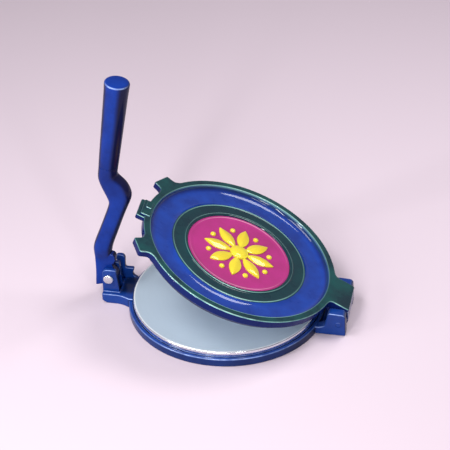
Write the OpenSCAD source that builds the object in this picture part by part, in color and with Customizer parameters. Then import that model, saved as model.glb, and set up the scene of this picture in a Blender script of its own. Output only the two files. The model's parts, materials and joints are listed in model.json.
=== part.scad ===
// Hand-operated roti press: a base with a polished plate, a hinged lid with a second plate,
// and a long lever whose hump bears on the lid's strike lug.
// Millimetres, +Z up, +X towards the hinge, origin at the plate's centre on the table.

/* [Press plates] */
// Diameter of both press plates
plate_d = 200; // [170:5:240]
// Thickness of the lower plate
base_plate_t = 8; // [7:0.5:12]
// Thickness of the upper plate
lid_plate_t = 4.9; // [4.5:0.1:8]
// Bevel round the edges of both plates
plate_bevel = 1.2; // [0.4:0.2:2]
// Space left between the plates when the lid is shut
plate_gap = 0.3; // [0.2:0.1:1.5]
// Depth of the threaded holes in the plates
thread_depth = 3.6; // [3:0.1:4]

/* [Base casting] */
// Width of the dark groove round the lower plate
edge_gap = 0.5; // [0.3:0.1:1.5]
// Thickness of the rim round the lower plate
base_rim_t = 4.1; // [3:0.1:7]
// Height of the rim round the lower plate
base_rim_h = 9.3; // [8.5:0.1:11]
// Height of the seat that carries the lower plate
seat_h = 7; // [6.5:0.5:8]
// Thickness of the base casting's web
base_web_t = 3.5; // [3:0.1:3.8]
// Width of the foot ring that stands on the table
foot_ring_w = 7; // [5:0.5:10]
// Number of ribs below the web
rib_count = 8; // [4:4:12]
// Thickness of a rib
rib_t = 4; // [3:0.5:6]
// Clearance between the ribs and the table
rib_lift = 0.6; // [0.4:0.1:1.5]
// Diameter of the flat boss below the centre
boss_d = 30; // [20:1:40]

/* [Lever bracket] */
// Distance from the rim to the lever's pivot
pivot_reach = 21.7; // [20:0.1:26]
// Height of the lever's pivot
pivot_h = 27.5; // [27:0.5:32]
// Width of the bracket block
bracket_w = 32; // [30:1:40]
// Height of the bracket block
bracket_h = 11.5; // [10:0.5:12.5]
// Distance from the pivot to the bracket's end
bracket_end = 6.7; // [6:0.1:9]
// Thickness of each ear
ear_t = 4.9; // [4:0.1:5.5]
// Height of the ears above the pivot
ear_top = 11.5; // [10:0.5:13]
// Distance from the pivot to the ears' inner edge at their foot
ear_foot = 11.8; // [10.5:0.1:12]
// Width of the slot between the ears
slot_w = 11; // [10.4:0.1:12]
// Height of the floor of the slot
slot_floor = 6; // [4:0.5:6.5]
// Thickness of the guide wing on the far side
wing_t = 4.8; // [4:0.1:6]
// Space between the shut strike lug and the guide wing
wing_gap = 2.2; // [0.6:0.1:3]
// Height of the guide wing's round tip
wing_tip = 38.4; // [36:0.1:44]

/* [Lever pin] */
// Diameter of the lever pin
pin_d = 8; // [7:0.5:9]
// Diameter of the pin's round head
pin_head_d = 11; // [10:0.5:14]
// Height of the pin's round head
pin_head_h = 2.6; // [2:0.1:4]
// Diameter of the split pin
split_d = 1.6; // [1.2:0.1:2]
// Thickness of the pin's washer
pin_washer_t = 1.2; // [0.8:0.1:1.6]

/* [Lever] */
// Thickness of the lever's flat tang
tang_t = 8.8; // [8:0.1:9.2]
// Radius of the eye round the pivot
eye_r = 9.6; // [8.5:0.1:9.6]
// Outer diameter of the bush in the eye
bush_d = 12; // [11:0.5:13]
// Thickness of the arm, seen from the end
arm_t = 17; // [14:0.5:20]
// Diameter of the rod inside the grip
rod_d = 12; // [10:0.5:14]
// Length of the rod inside the grip
rod_l = 84; // [60:1:90]
// Length of the grip
grip_l = 102; // [95:1:120]
// Diameter of the grip at its lower end
grip_d_low = 20.6; // [19:0.1:23]
// Diameter of the grip at its top
grip_d_top = 26.6; // [24:0.1:30]
// Bevel round the grip's top
grip_bevel = 1.8; // [1:0.1:3]
// Angle at which the grip leans towards the lid
grip_lean = 7.5; // [4:0.5:12]

/* [Hinge] */
// Distance from the base's rim to the hinge pin
hinge_reach = 18.7; // [18:0.1:21]
// Height of the hinge pin
hinge_h = 13.9; // [13:0.1:15]
// Diameter of the hinge pin
hinge_pin_d = 6; // [5:0.5:7]
// Width of the lid's tongue
tongue_w = 43; // [36:0.5:48]
// Thickness of each hinge lug on the base
lug_t = 11; // [8:0.5:13]
// Thickness of a shim between the tongue and a lug
shim_t = 0.5; // [0.4:0.1:1]
// Radius of the tongue's barrel
barrel_r = 9; // [7.5:0.1:9.4]
// Height of the web between the hinge lugs
bridge_h = 4; // [3:0.1:4.2]

/* [Lid casting] */
// Angle by which the lid stands open
lid_open = 21.59; // [0:0.01:60]
// Outer radius of the lid, beyond the base's rim
lid_overhang = 2.5; // [1:0.1:3]
// Width of the lid's flat rim
lid_rim_w = 7.6; // [6:0.1:10]
// Height of the lid's side wall
lid_side_h = 9; // [8:0.1:10.5]
// Height of the lid's rim above the plate's seat
lid_rise = 11.3; // [10.8:0.1:12.5]
// Thickness of the lid's web below the channel
lid_web_t = 4.2; // [3.4:0.1:4.8]
// Width of the hollow curve from the rim to the channel
cove_w = 8.5; // [5:0.1:9]
// Outer radius of the raised ring
ring_r = 73.4; // [69:0.1:75]
// Width of the slope from the channel to the raised ring
ring_slope = 4.4; // [2:0.1:6]
// Outer radius of the bead round the medallion
bead_r = 60.6; // [60:0.1:63]
// Height of the bead round the medallion
bead_rise = 1.1; // [0.6:0.1:2]

/* [Lid lugs] */
// Width of the strike lug
strike_w = 29; // [24:0.5:30]
// Length of the strike lug beyond the lid's edge
strike_l = 8.1; // [6:0.1:8.2]
// Thickness of the strike lug
strike_t = 7; // [5:0.1:7.2]
// Height by which the strike lug's lip lies below the rim
strike_step = 1.4; // [0.6:0.1:2]
// Distance of the strike lug's middle from the lid's, towards the guide wing
strike_y = 2.5; // [0:0.1:3]
// Width of the raised pad on the strike lug
pad_w = 25; // [16:0.5:26]
// Length of the pad beyond the lid's edge
pad_l = 4.6; // [3:0.1:5]
// Height of the pad above the rim
pad_rise = 1.2; // [0.6:0.1:2]
// Width of the cam on the pad
cam_w = 12; // [8:0.5:14]
// Height of the cam above the pad
cam_rise = 1.1; // [0.6:0.1:1.6]
// Angle of the side lugs from the lid's middle line
side_angle = 30.3; // [28:0.1:38]
// Width of a side lug at its tip
side_w = 21.5; // [16:0.5:24]
// Length of a side lug beyond the lid's edge
side_l = 12.9; // [8:0.1:16]
// Thickness of a side lug
side_t = 6.8; // [6:0.1:8.8]

/* [Medallion] */
// Radius of the medallion
medal_r = 56.7; // [54:0.1:57]
// Thickness of the medallion at its edge
medal_t = 1.8; // [1.6:0.1:2.4]
// Depth of the medallion's dish
medal_dish = 0.6; // [0.3:0.1:0.9]
// Width of the medallion's flat edge and slope
medal_edge = 5.7; // [4:0.1:8]
// Number of petals on the rosette
petal_count = 8; // [5:1:12]
// Length of a petal
petal_l = 31; // [24:0.5:34]
// Width of a petal
petal_w = 13; // [8:0.5:14]
// Height of the rosette
rosette_h = 2.6; // [1.6:0.1:4]
// Radius of the rosette's round centre
rosette_hub_r = 10; // [8:0.5:12]
// Radius of the beads between the petals
rosette_bead_r = 3; // [2:0.5:4]
// Diameter of the screw below the rosette
medal_screw_d = 4; // [3:0.5:4]
// Diameter of that screw's head
medal_head_d = 7; // [6:0.5:8]
// Height of that screw's head
medal_head_h = 1.5; // [1.2:0.1:1.8]

/* [Screws] */
// Diameter of the screws
screw_d = 5; // [4:0.5:6]
// Diameter of the screw heads
screw_head_d = 9; // [8:0.5:10]
// Height of the screw heads
screw_head_h = 2.1; // [1.8:0.1:2.2]
// Thickness of the washers below the screw heads
washer_t = 0.8; // [0.6:0.1:0.8]
// Thickness of the lid below the washers
screw_bed = 1.2; // [1:0.1:2]
// Number of screws in each plate
screw_count = 4; // [3:1:6]
// Radius of the circle of screws
screw_circle = 42; // [34:1:46]
// Diameter of the set screws in the hinge lugs
set_screw_d = 4; // [3:0.5:5]

/* [Hidden] */

$fn = 96;
blue = [0.07, 0.13, 0.55];
green = [0.04, 0.30, 0.20];
pink = [0.80, 0.16, 0.36];
yellow = [0.90, 0.80, 0.15];
plate_grey = [0.74, 0.77, 0.80];
steel = [0.66, 0.67, 0.68];
zinc = [0.55, 0.57, 0.58];

fit = 0.05;             // running fit and press fit, on the radius
joint_gap = 0.3;        // face clearance of what moves past what stands still
hole_gap = 0.25;        // clearance hole round a screw
through = 1;            // overshoot of a cutting tool
edge_r = 1.2;           // usual rounding of a casting's edge
small_r = 2;            // rounding of a casting's smaller corners
soft_r = 3;             // rounding of a casting's larger corners
corner_steps = 6;       // points on a rounded corner
root_in = 4;            // how far a lug on the base starts inside the plate's edge
head_room = 1;          // space round a screw's head
rim_margin = 1;         // from a plate's edge to the step it sits within

plate_r = plate_d / 2;
base_r = plate_r + edge_gap + base_rim_t;
web_low = seat_h - base_web_t;
base_plate_top = seat_h + base_plate_t;

// The lid is drawn shut, then opened about the hinge.
hinge_x = base_r + hinge_reach;
lug_gap = tongue_w / 2 + shim_t;
lug_out = lug_gap + lug_t;
lid_r = base_r + lid_overhang;
lid_face = base_plate_top + plate_gap;
lid_seat = lid_face + lid_plate_t;
rim_top = lid_seat + lid_rise;
side_low = rim_top - lid_side_h;
channel_z = lid_seat + lid_web_t;
rim_in = lid_r - lid_rim_w;
medal_seat = lid_seat + screw_bed + washer_t + screw_head_h + joint_gap;
medal_top = medal_seat + medal_t;
medal_floor = medal_top - medal_dish;
ring_z = medal_top;
medal_thread = medal_seat - lid_seat - rim_margin;
bead_soft = 0.6;        // rounding of the bead and of the medallion's dish

pivot_x = -(base_r + pivot_reach);
ear_in = slot_w / 2;
ear_out = ear_in + ear_t;
bracket_x = pivot_x - bracket_end;
heel_stop = 11.6;       // from the pivot to the wall that stops the heel
ear_foot_h = 1;         // height of the ears' upright foot above the block
ear_taper = 0.72;       // reach of the ears' tops from the pivot, as a share of that of their feet
ear_back_r = 5.5;       // rounding of the ears' tops on the side away from the lid
block_flare = 4.5;      // extra half-width of the block where it meets the rim
block_neck = 7.4;       // from the rim to where the block starts to widen
block_meet = 1.6;       // how far inside the rim the widening ends
block_chamfer = [6, 4.6]; // length and height of the chamfer below the block's outer end
strike_root = 0.8;      // extra half-width of the strike lug where it meets the rim
side_root = 5;          // the same of a side lug
lug_ease = 0.6;         // what is left of that extra width beyond the lid's edge
lug_bite = 0.6;         // how far inside the lid's edge it starts to narrow
lug_flare = 2.2;        // how far outside the lid's edge it has narrowed
lug_root_r = 2.5;       // rounding there
lug_tip_r = 1.6;        // rounding of the lugs' tips
cam_margin = 1.5;       // from the pad's far side, and from the lid's edge, to the cam
wing_in = strike_y + strike_w / 2 + strike_root + wing_gap;
wing_shoulder = side_low - joint_gap;
bush_r = bush_d / 2;
shim_margin = 1;        // by which a shim is smaller than the faces it parts
shim_lever_t = (slot_w - tang_t) / 2 - 2 * fit;
split_y = ear_out + pin_washer_t + split_d;
split_r = split_d / 2;
split_eye_r = 1.6 * split_d;  // from the middle of the split pin's eye to its wire's middle
split_leg = pin_d / 2 + 1.4;  // from the pivot to where the split pin's legs bend
split_tail = 3.2;             // length of a bent leg
split_bend = 55;              // angle of a bent leg
pin_tail = 2;                 // what the lever pin reaches beyond the split pin
pin_soft = 1.8;               // rounding of the lever pin's head
set_screw_low = 2;            // height of the set screws' lower ends
grip_crown = 0.6;             // rise of the grip's top towards its middle

// Outline of the guide wing, as [outwards from the lid's edge, height, corner radius].
wing_outline = [
    [10.3, slot_floor, 0],
    [-7.4, slot_floor, 0],
    [-7.4, base_rim_h - edge_r, 0],
    [-0.6, base_rim_h + 4, small_r],
    [-0.6, wing_shoulder - 4.4, 1],
    [-1.9, wing_shoulder - 2.6, 1],
    [-1.9, wing_shoulder, 1],
    [7.5, wing_shoulder, 2.5],
    [7.1, wing_tip, 4.8],
    [18.3, wing_tip, 4.8],
    [14.5, wing_shoulder - 2, soft_r]];

// Outline of a hinge lug, as [outwards from the hinge pin, height, corner radius].
hinge_lug_outline = [
    [plate_r - root_in - hinge_x, 0, 0],
    [7.9, 0, 1],
    [7.1, hinge_h + 12.9, 4],
    [-11.2, hinge_h + 13.9, soft_r],
    [-14.6, base_rim_h + 1.2, soft_r],
    [base_r - 2 - hinge_x, base_rim_h, 0],
    [plate_r - root_in - hinge_x, base_rim_h, 0]];

// Outline of the shut lid's tongue above its barrel, as [outwards from the hinge pin, height, corner radius].
tongue_outline = [
    [lid_r - 7 - hinge_x, side_low, 0],
    [0.3 - barrel_r, hinge_h - 1, 0],
    [0.97 * barrel_r, hinge_h - 1, 0],
    [0.9 * barrel_r, hinge_h + 4, 0],
    [4.9, rim_top - 2.9, 2.5],
    [lid_r - 2 - hinge_x, rim_top, 4],
    [lid_r - 6 - hinge_x, rim_top, 0],
    [lid_r - 7 - hinge_x, rim_top - 1, 0]];

// Outline of the lever's tang from its heel to its root in the arm, from the pivot.
tang_outline = [
    [-15.4, -13.1, 1.5],
    [-1.2, 0.2 - eye_r, 0],
    [eye_r - 1, 3, 0],
    [3, 15, 4],
    [2.6, 24, 0],
    [-15, 22, 0],
    [-14.6, 6, soft_r]];

// Outline of the nose on the lever's lid side, from the pivot.
nose_outline = [
    [-4, 12.4, 0],
    [2, 13.4, small_r],
    [7.4, 18.2, soft_r],
    [6.8, 27.4, soft_r],
    [-4, 30, 0]];

// Edges of the lever arm in the plane of its swing, from the pivot, as [x, z] from the heel up.
arm_left = [[-14.5, 6.5], [-15.4, 18.5], [-16.4, 29], [-15.6, 39.5], [-10.2, 54.5], [-3.2, 74.5],
            [1.7, 90], [1.7, 98], [-3.2, 110.5], [-7.4, 123], [-6.9, 133.2]];
arm_right = [[3.2, 12.5], [2.3, 22.5], [3.2, 31], [5.1, 40.5], [10.8, 57], [18, 78.5],
             [24.7, 96.5], [26.2, 106], [21.8, 118.5], [13.9, 126.5], [13.4, 132.6]];
// Thickness there, as a share of the arm's thickness: thin between the ears, full above them.
arm_share = [0.46, 0.46, 0.8, 0.98, 1, 1, 1, 1, 1, 1.05, 1.12];
arm_top = [3.7, 139.1]; // centre of the arm's top, where the grip starts
arm_steps = 4;          // rings between two stations of the arm
arm_sides = 28;         // sides of the arm's rounded section
arm_square = 0.72;      // 1 is an ellipse, less is squarer

across_grip = grip_d_low / 2 * [cos(grip_lean), -sin(grip_lean)];
left_edge = concat(arm_left, [arm_top - across_grip]);
right_edge = concat(arm_right, [arm_top + across_grip]);
half_depth = concat(arm_t / 2 * arm_share, [grip_d_low / 2]);

// Points of an outline whose corners are rounded: each point is [x, y, radius].
function unit(v) = v / norm(v);
function flat2(p) = [p[0], p[1]];
function corner(a, p, b, n) =
    p[2] == 0 ? [flat2(p)] :
    let (u = unit(flat2(a) - flat2(p)),
         w = unit(flat2(b) - flat2(p)),
         half = acos(u * w) / 2,
         back = p[2] / tan(half),
         mid = flat2(p) + unit(u + w) * p[2] / sin(half),
         s = flat2(p) + u * back - mid,
         e = flat2(p) + w * back - mid,
         a0 = atan2(s[1], s[0]),
         turn = (atan2(e[1], e[0]) - a0 + 540) % 360 - 180)
    [for (i = [0:n]) mid + p[2] * [cos(a0 + turn * i / n), sin(a0 + turn * i / n)]];
function rounded(pts, n = corner_steps) =
    let (c = len(pts))
    [for (i = [0:c - 1]) each corner(pts[(i + c - 1) % c], pts[i], pts[(i + 1) % c], n)];

// A smooth value through the stations of a list, at station i and fraction t of the way on.
function at_station(list, i) = list[max(0, min(len(list) - 1, i))];
function smooth(list, i, t) =
    let (a = at_station(list, i - 1),
         b = at_station(list, i),
         c = at_station(list, i + 1),
         d = at_station(list, i + 2))
    0.5 * (2 * b + (c - a) * t + (2 * a - 5 * b + 4 * c - d) * t * t
           + (3 * b - a - 3 * c + d) * t * t * t);

// Extrudes an outline of [x, z] points along Y, between two faces.
module along_y(low, high) {
    translate([0, high, 0])
        rotate([90, 0, 0])
            linear_extrude(height = high - low)
                children();
}

// A round bar along Y, between two faces, at a place in the XZ plane.
module bar_y(x, z, r, low, high) {
    translate([x, high, z])
        rotate([90, 0, 0])
            cylinder(r = r, h = high - low);
}

// Turns the shut lid to the angle at which it stands open.
module opened() {
    translate([hinge_x, 0, hinge_h])
        rotate([0, lid_open, 0])
            translate([-hinge_x, 0, -hinge_h])
                children();
}

// Copies what follows round the plate's centre, one for each plate screw.
module at_plate_screws(turn) {
    for (i = [0:screw_count - 1])
        rotate([0, 0, turn + i * 360 / screw_count])
            translate([screw_circle, 0, 0])
                children();
}

// ---- Base ----

// Rim, web, foot ring and centre boss of the base, turned in one profile with no recess yet.
module base_dish() {
    rotate_extrude($fn = 180)
        polygon(rounded([
            [0, 0, 0],
            [boss_d / 2, 0, 0],
            [boss_d / 2, web_low, 0],
            [base_r - foot_ring_w, web_low, 0],
            [base_r - foot_ring_w, 0, 0],
            [base_r, 0, edge_r],
            [base_r, base_rim_h, edge_r],
            [0, base_rim_h, 0]]));
}

module base_ribs() {
    for (i = [0:rib_count - 1])
        rotate([0, 0, i * 360 / rib_count])
            translate([boss_d / 2 - through, -rib_t / 2, rib_lift])
                cube([base_r - foot_ring_w - boss_d / 2 + 2 * through, rib_t, web_low - rib_lift + through]);
}

// Block that carries the ears: rounded along its outer end, wider where it meets the rim.
module bracket_block() {
    half = bracket_w / 2;
    flare = half + block_flare;
    inner = -(plate_r - root_in);
    intersection() {
        linear_extrude(height = bracket_h)
            polygon(rounded([
                [bracket_x, -half, small_r],
                [-(base_r + block_neck), -half, 2 * soft_r],
                [-(base_r - block_meet), -flare, 0],
                [inner, -flare, 0],
                [inner, flare, 0],
                [-(base_r - block_meet), flare, 0],
                [-(base_r + block_neck), half, 2 * soft_r],
                [bracket_x, half, small_r]]));
        along_y(-flare, flare)
            polygon(rounded([
                [bracket_x, bracket_h, edge_r],
                [bracket_x, block_chamfer[1], soft_r],
                [bracket_x + block_chamfer[0], 0, soft_r],
                [inner, 0, 0],
                [inner, bracket_h, 0]]));
    }
}

// Both ears in one block, from their foot to their rounded tops; the slot parts them.
module ears() {
    along_y(-ear_out, ear_out)
        polygon(rounded([
            [bracket_x, bracket_h - soft_r, 0],
            [pivot_x + ear_foot, bracket_h - soft_r, 0],
            [pivot_x + ear_foot, bracket_h + ear_foot_h, small_r],
            [pivot_x + ear_foot * ear_taper, pivot_h + ear_top, small_r],
            [bracket_x, pivot_h + ear_top, ear_back_r]]));
}

// Slot for the lever's tang: open at the bracket's end and above, closed by a wall the heel stops at.
module tang_slot() {
    out = bracket_x - through;
    wall = pivot_x + heel_stop;
    roof = pivot_h + ear_top + through;
    along_y(-ear_in, ear_in)
        polygon([
            [out, slot_floor],
            [wall, slot_floor],
            [wall, bracket_h],
            [pivot_x + 2 * ear_foot, bracket_h],
            [pivot_x + 2 * ear_foot, roof],
            [out, roof]]);
}

// Finger beyond the far ear that guides the strike lug as the lid shuts.
module guide_wing() {
    out = -(lid_r + joint_gap);
    along_y(wing_in, wing_in + wing_t)
        polygon(rounded([for (p = wing_outline) [out - p[0], p[1], p[2]]]));
}

// One hinge lug on the base: square foot, rounded top, clear of the opening lid.
module hinge_lug(low, high) {
    along_y(low, high)
        polygon(rounded([for (p = hinge_lug_outline) [hinge_x + p[0], p[1], p[2]]]));
}

module base_casting() {
    color(blue)
        difference() {
            union() {
                base_dish();
                base_ribs();
                bracket_block();
                ears();
                guide_wing();
                hinge_lug(-lug_out, -lug_gap);
                hinge_lug(lug_gap, lug_out);
                translate([plate_r - root_in, -lug_gap - through, 0])
                    cube([hinge_x + edge_r + root_in - plate_r, 2 * (lug_gap + through), bridge_h]);
            }
            translate([0, 0, seat_h])
                cylinder(r = plate_r + edge_gap, h = wing_tip, $fn = 180);
            tang_slot();
            bar_y(pivot_x, pivot_h, pin_d / 2 + fit, -ear_out - through, ear_out + through);
            bar_y(hinge_x, hinge_h, hinge_pin_d / 2 + fit, -lug_out - through, lug_out + through);
            for (side = [-1, 1])
                translate([hinge_x, side * (lug_gap + lug_t / 2), -through])
                    cylinder(d = set_screw_d + 2 * fit, h = hinge_h);
            at_plate_screws(180 / rib_count)
                cylinder(d = screw_d + 2 * hole_gap, h = seat_h + through);
        }
}

module base_press_plate() {
    color(plate_grey)
        difference() {
            rotate_extrude($fn = 180)
                polygon([
                    [0, seat_h],
                    [plate_r - plate_bevel, seat_h],
                    [plate_r, seat_h + plate_bevel],
                    [plate_r, base_plate_top - plate_bevel],
                    [plate_r - plate_bevel, base_plate_top],
                    [0, base_plate_top]]);
            at_plate_screws(180 / rib_count)
                translate([0, 0, seat_h - through])
                    cylinder(d = screw_d + 2 * fit, h = thread_depth + through);
        }
}

// A screw that stands head down: its head's bearing face is at height 0 and its shank goes up.
module plate_screw(grip_length) {
    translate([0, 0, -screw_head_h])
        rotate_extrude()
            polygon(rounded([
                [0, 0, 0],
                [screw_head_d / 2, 0, 1],
                [screw_head_d / 2, screw_head_h, 0],
                [0, screw_head_h, 0]]));
    translate([0, 0, -through / 2])
        cylinder(d = screw_d, h = grip_length + through / 2 + thread_depth - 2 * joint_gap);
}

module washer(inner_d, outer_d, t) {
    difference() {
        cylinder(d = outer_d, h = t);
        translate([0, 0, -through])
            cylinder(d = inner_d, h = t + 2 * through);
    }
}

module base_plate_screws() {
    color(zinc)
        at_plate_screws(180 / rib_count)
            translate([0, 0, web_low - washer_t])
                plate_screw(washer_t + base_web_t);
}

module base_plate_washers() {
    color(steel)
        at_plate_screws(180 / rib_count)
            translate([0, 0, web_low - washer_t])
                washer(screw_d + 2 * fit, screw_head_d + head_room, washer_t);
}

module hinge_pin() {
    color(steel)
        bar_y(hinge_x, hinge_h, hinge_pin_d / 2, -lug_out, lug_out);
}

module hinge_set_screws() {
    color(zinc)
        for (side = [-1, 1])
            translate([hinge_x, side * (lug_gap + lug_t / 2), set_screw_low])
                cylinder(d = set_screw_d, h = hinge_h - hinge_pin_d / 2 - set_screw_low - fit);
}

module hinge_shims() {
    color(steel)
        for (low = [-lug_gap, tongue_w / 2])
            translate([hinge_x, low + shim_t - fit, hinge_h])
                rotate([90, 0, 0])
                    washer(hinge_pin_d + 2 * fit, 2 * (barrel_r - shim_margin), shim_t - 2 * fit);
}

// Headed pin: round head on the near ear, drilled for the split pin beyond the far ear.
module lever_pin() {
    tail = split_y + split_d + pin_tail;
    color(steel)
        difference() {
            union() {
                bar_y(pivot_x, pivot_h, pin_d / 2, -ear_out - through / 2, tail);
                translate([pivot_x, -ear_out, pivot_h])
                    rotate([90, 0, 0])
                        rotate_extrude()
                            polygon(rounded([
                                [0, 0, 0],
                                [pin_head_d / 2, 0, 0],
                                [pin_head_d / 2, pin_head_h, pin_soft],
                                [0, pin_head_h, 0]]));
            }
            translate([pivot_x, split_y, pivot_h - pin_d])
                cylinder(d = split_d + 2 * fit, h = 2 * pin_d);
        }
}

module lever_pin_washer() {
    color(zinc)
        translate([pivot_x, ear_out + pin_washer_t, pivot_h])
            rotate([90, 0, 0])
                washer(pin_d + 2 * fit, pin_d + 2 * soft_r, pin_washer_t);
}

// Split pin: an eye just above the lever pin and two legs bent apart below it.
module lever_split_pin() {
    eye_z = pin_d / 2 + joint_gap + split_r + split_eye_r;
    color(zinc)
        translate([pivot_x, split_y, pivot_h]) {
            translate([0, 0, -split_leg])
                cylinder(r = split_r, h = split_leg + eye_z - split_eye_r);
            translate([0, 0, eye_z])
                rotate([90, 0, 0])
                    rotate_extrude()
                        translate([split_eye_r, 0])
                            circle(r = split_r, $fn = 24);
            for (side = [-1, 1])
                translate([0, 0, split_r / 2 - split_leg])
                    rotate([0, 180 - side * split_bend, 0])
                        cylinder(r = 0.8 * split_r, h = split_tail);
        }
}

module lever_shims() {
    color(steel)
        for (side = [-1, 1])
            translate([pivot_x, side * (tang_t + 2 * fit + shim_lever_t) / 2 + shim_lever_t / 2, pivot_h])
                rotate([90, 0, 0])
                    washer(pin_d + 2 * fit, 2 * (bracket_end - joint_gap), shim_lever_t);
}

// ---- Lid, drawn shut ----

// Rim, hollow curve, channel, raised ring, bead and medallion seat, as [radius, height] points.
function lid_profile() = concat(
    [[0, lid_seat],
     [plate_r - 2 * rim_margin, lid_seat],
     [plate_r - rim_margin, side_low],
     [lid_r - edge_r, side_low]],
    [for (i = [0:corner_steps])
        let (a = -90 + 90 * i / corner_steps)
        [lid_r - edge_r + edge_r * cos(a), side_low + edge_r + edge_r * sin(a)]],
    [for (i = [0:corner_steps])
        let (a = 90 * i / corner_steps)
        [lid_r - edge_r + edge_r * cos(a), rim_top - edge_r + edge_r * sin(a)]],
    [[rim_in + edge_r / 2, rim_top]],
    [for (i = [0:10])
        let (a = 90 * i / 10)
        [rim_in - cove_w * (1 - cos(a)), rim_top - edge_r / 2 - (rim_top - edge_r / 2 - channel_z) * sin(a)]],
    [[ring_r + ring_slope, channel_z],
     [ring_r + edge_r / 2, ring_z - edge_r / 2],
     [ring_r - edge_r / 2, ring_z],
     [bead_r, ring_z],
     [bead_r - bead_soft, ring_z + bead_rise - bead_soft / 2],
     [bead_r - 2 * bead_soft, ring_z + bead_rise],
     [medal_r + 2 * bead_soft, ring_z + bead_rise],
     [medal_r + fit, ring_z + bead_rise - 1.5 * bead_soft],
     [medal_r + fit, medal_seat],
     [0, medal_seat]]);

// Tongue of the lid: flat on top like the rim, sloping to a round barrel on the hinge pin.
module hinge_tongue() {
    half = tongue_w / 2;
    along_y(-half, half)
        polygon(rounded([for (p = tongue_outline) [hinge_x + p[0], p[1], p[2]]]));
    bar_y(hinge_x, hinge_h, barrel_r, -half, half);
}

// A lug on the lid's edge, pointing along -X: wide at its root and rounded at its tip.
module edge_lug(w, l, t, top, root) {
    translate([0, 0, top - t])
        linear_extrude(height = t)
            polygon(rounded([
                [-(rim_in + edge_r), -w / 2 - root, 0],
                [-(lid_r - lug_bite), -w / 2 - root, 0],
                [-(lid_r + lug_flare), -w / 2 - lug_ease, lug_root_r],
                [-(lid_r + l), -w / 2, lug_tip_r],
                [-(lid_r + l), w / 2, lug_tip_r],
                [-(lid_r + lug_flare), w / 2 + lug_ease, lug_root_r],
                [-(lid_r - lug_bite), w / 2 + root, 0],
                [-(rim_in + edge_r), w / 2 + root, 0]]));
}

// Strike lug: a lip a step lower than the rim, a pad that runs on across the rim, and a cam on the pad.
module strike_lug() {
    inner = rim_in + edge_r;
    translate([0, strike_y, 0]) {
        edge_lug(strike_w, strike_l, strike_t - strike_step, rim_top - strike_step, strike_root);
        translate([-(lid_r + pad_l), -pad_w / 2, rim_top - strike_t])
            cube([lid_r + pad_l - inner, pad_w, strike_t + pad_rise]);
        translate([-(lid_r + cam_margin), pad_w / 2 - cam_margin - cam_w, rim_top - strike_t])
            cube([lid_rim_w - edge_r, cam_w, strike_t + pad_rise + cam_rise]);
    }
}

module lid_casting() {
    color(blue)
        opened()
            difference() {
                union() {
                    rotate_extrude($fn = 180)
                        polygon(lid_profile());
                    hinge_tongue();
                    strike_lug();
                    for (side = [-1, 1])
                        rotate([0, 0, side * side_angle])
                            edge_lug(side_w, side_l, side_t, rim_top, side_root);
                }
                bar_y(hinge_x, hinge_h, hinge_pin_d / 2 + fit, -lug_gap - through, lug_gap + through);
                at_plate_screws(0)
                    translate([0, 0, lid_seat - through])
                        cylinder(d = screw_d + 2 * hole_gap, h = 3 * lid_web_t);
                at_plate_screws(0)
                    translate([0, 0, lid_seat + screw_bed])
                        cylinder(d = screw_head_d + 2 * head_room, h = 3 * lid_web_t);
                translate([0, 0, medal_seat - medal_thread])
                    cylinder(d = medal_screw_d + 2 * fit, h = medal_thread + through);
            }
}

module lid_press_plate() {
    color(plate_grey)
        opened()
            difference() {
                rotate_extrude($fn = 180)
                    polygon([
                        [0, lid_face],
                        [plate_r - plate_bevel, lid_face],
                        [plate_r, lid_face + plate_bevel],
                        [plate_r, lid_seat - plate_bevel],
                        [plate_r - plate_bevel, lid_seat],
                        [0, lid_seat]]);
                at_plate_screws(0)
                    translate([0, 0, lid_seat - thread_depth])
                        cylinder(d = screw_d + 2 * fit, h = thread_depth + through);
            }
}

// Screws of the upper plate: heads up, below the medallion.
module lid_plate_screws() {
    color(zinc)
        opened()
            at_plate_screws(0)
                translate([0, 0, lid_seat + screw_bed + washer_t])
                    rotate([180, 0, 0])
                        plate_screw(washer_t + screw_bed);
}

module lid_plate_washers() {
    color(steel)
        opened()
            at_plate_screws(0)
                translate([0, 0, lid_seat + screw_bed])
                    washer(screw_d + 2 * fit, screw_head_d + head_room, washer_t);
}

module lid_medallion() {
    color(pink)
        opened()
            difference() {
                rotate_extrude($fn = 180)
                    polygon(rounded([
                        [0, medal_seat, 0],
                        [medal_r, medal_seat, 0],
                        [medal_r, medal_top, bead_soft],
                        [medal_r - 0.4 * medal_edge, medal_top, bead_soft],
                        [medal_r - medal_edge, medal_floor, bead_soft],
                        [0, medal_floor, 0]]));
                translate([0, 0, medal_seat - through])
                    cylinder(d = medal_screw_d + 2 * hole_gap, h = medal_t + 2 * through);
            }
}

module medallion_screw() {
    color(zinc)
        opened() {
            translate([0, 0, medal_seat - medal_thread + joint_gap])
                cylinder(d = medal_screw_d, h = medal_floor - medal_seat + medal_thread);
            translate([0, 0, medal_floor])
                cylinder(d = medal_head_d, h = medal_head_h);
        }
}

// Leaf shape between two equal arcs, pointing along +X from the origin.
module leaf(l, w) {
    r = (l * l + w * w) / (4 * w);
    intersection() {
        translate([l / 2, r - w / 2])
            circle(r = r, $fn = 120);
        translate([l / 2, w / 2 - r])
            circle(r = r, $fn = 120);
    }
}

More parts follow.
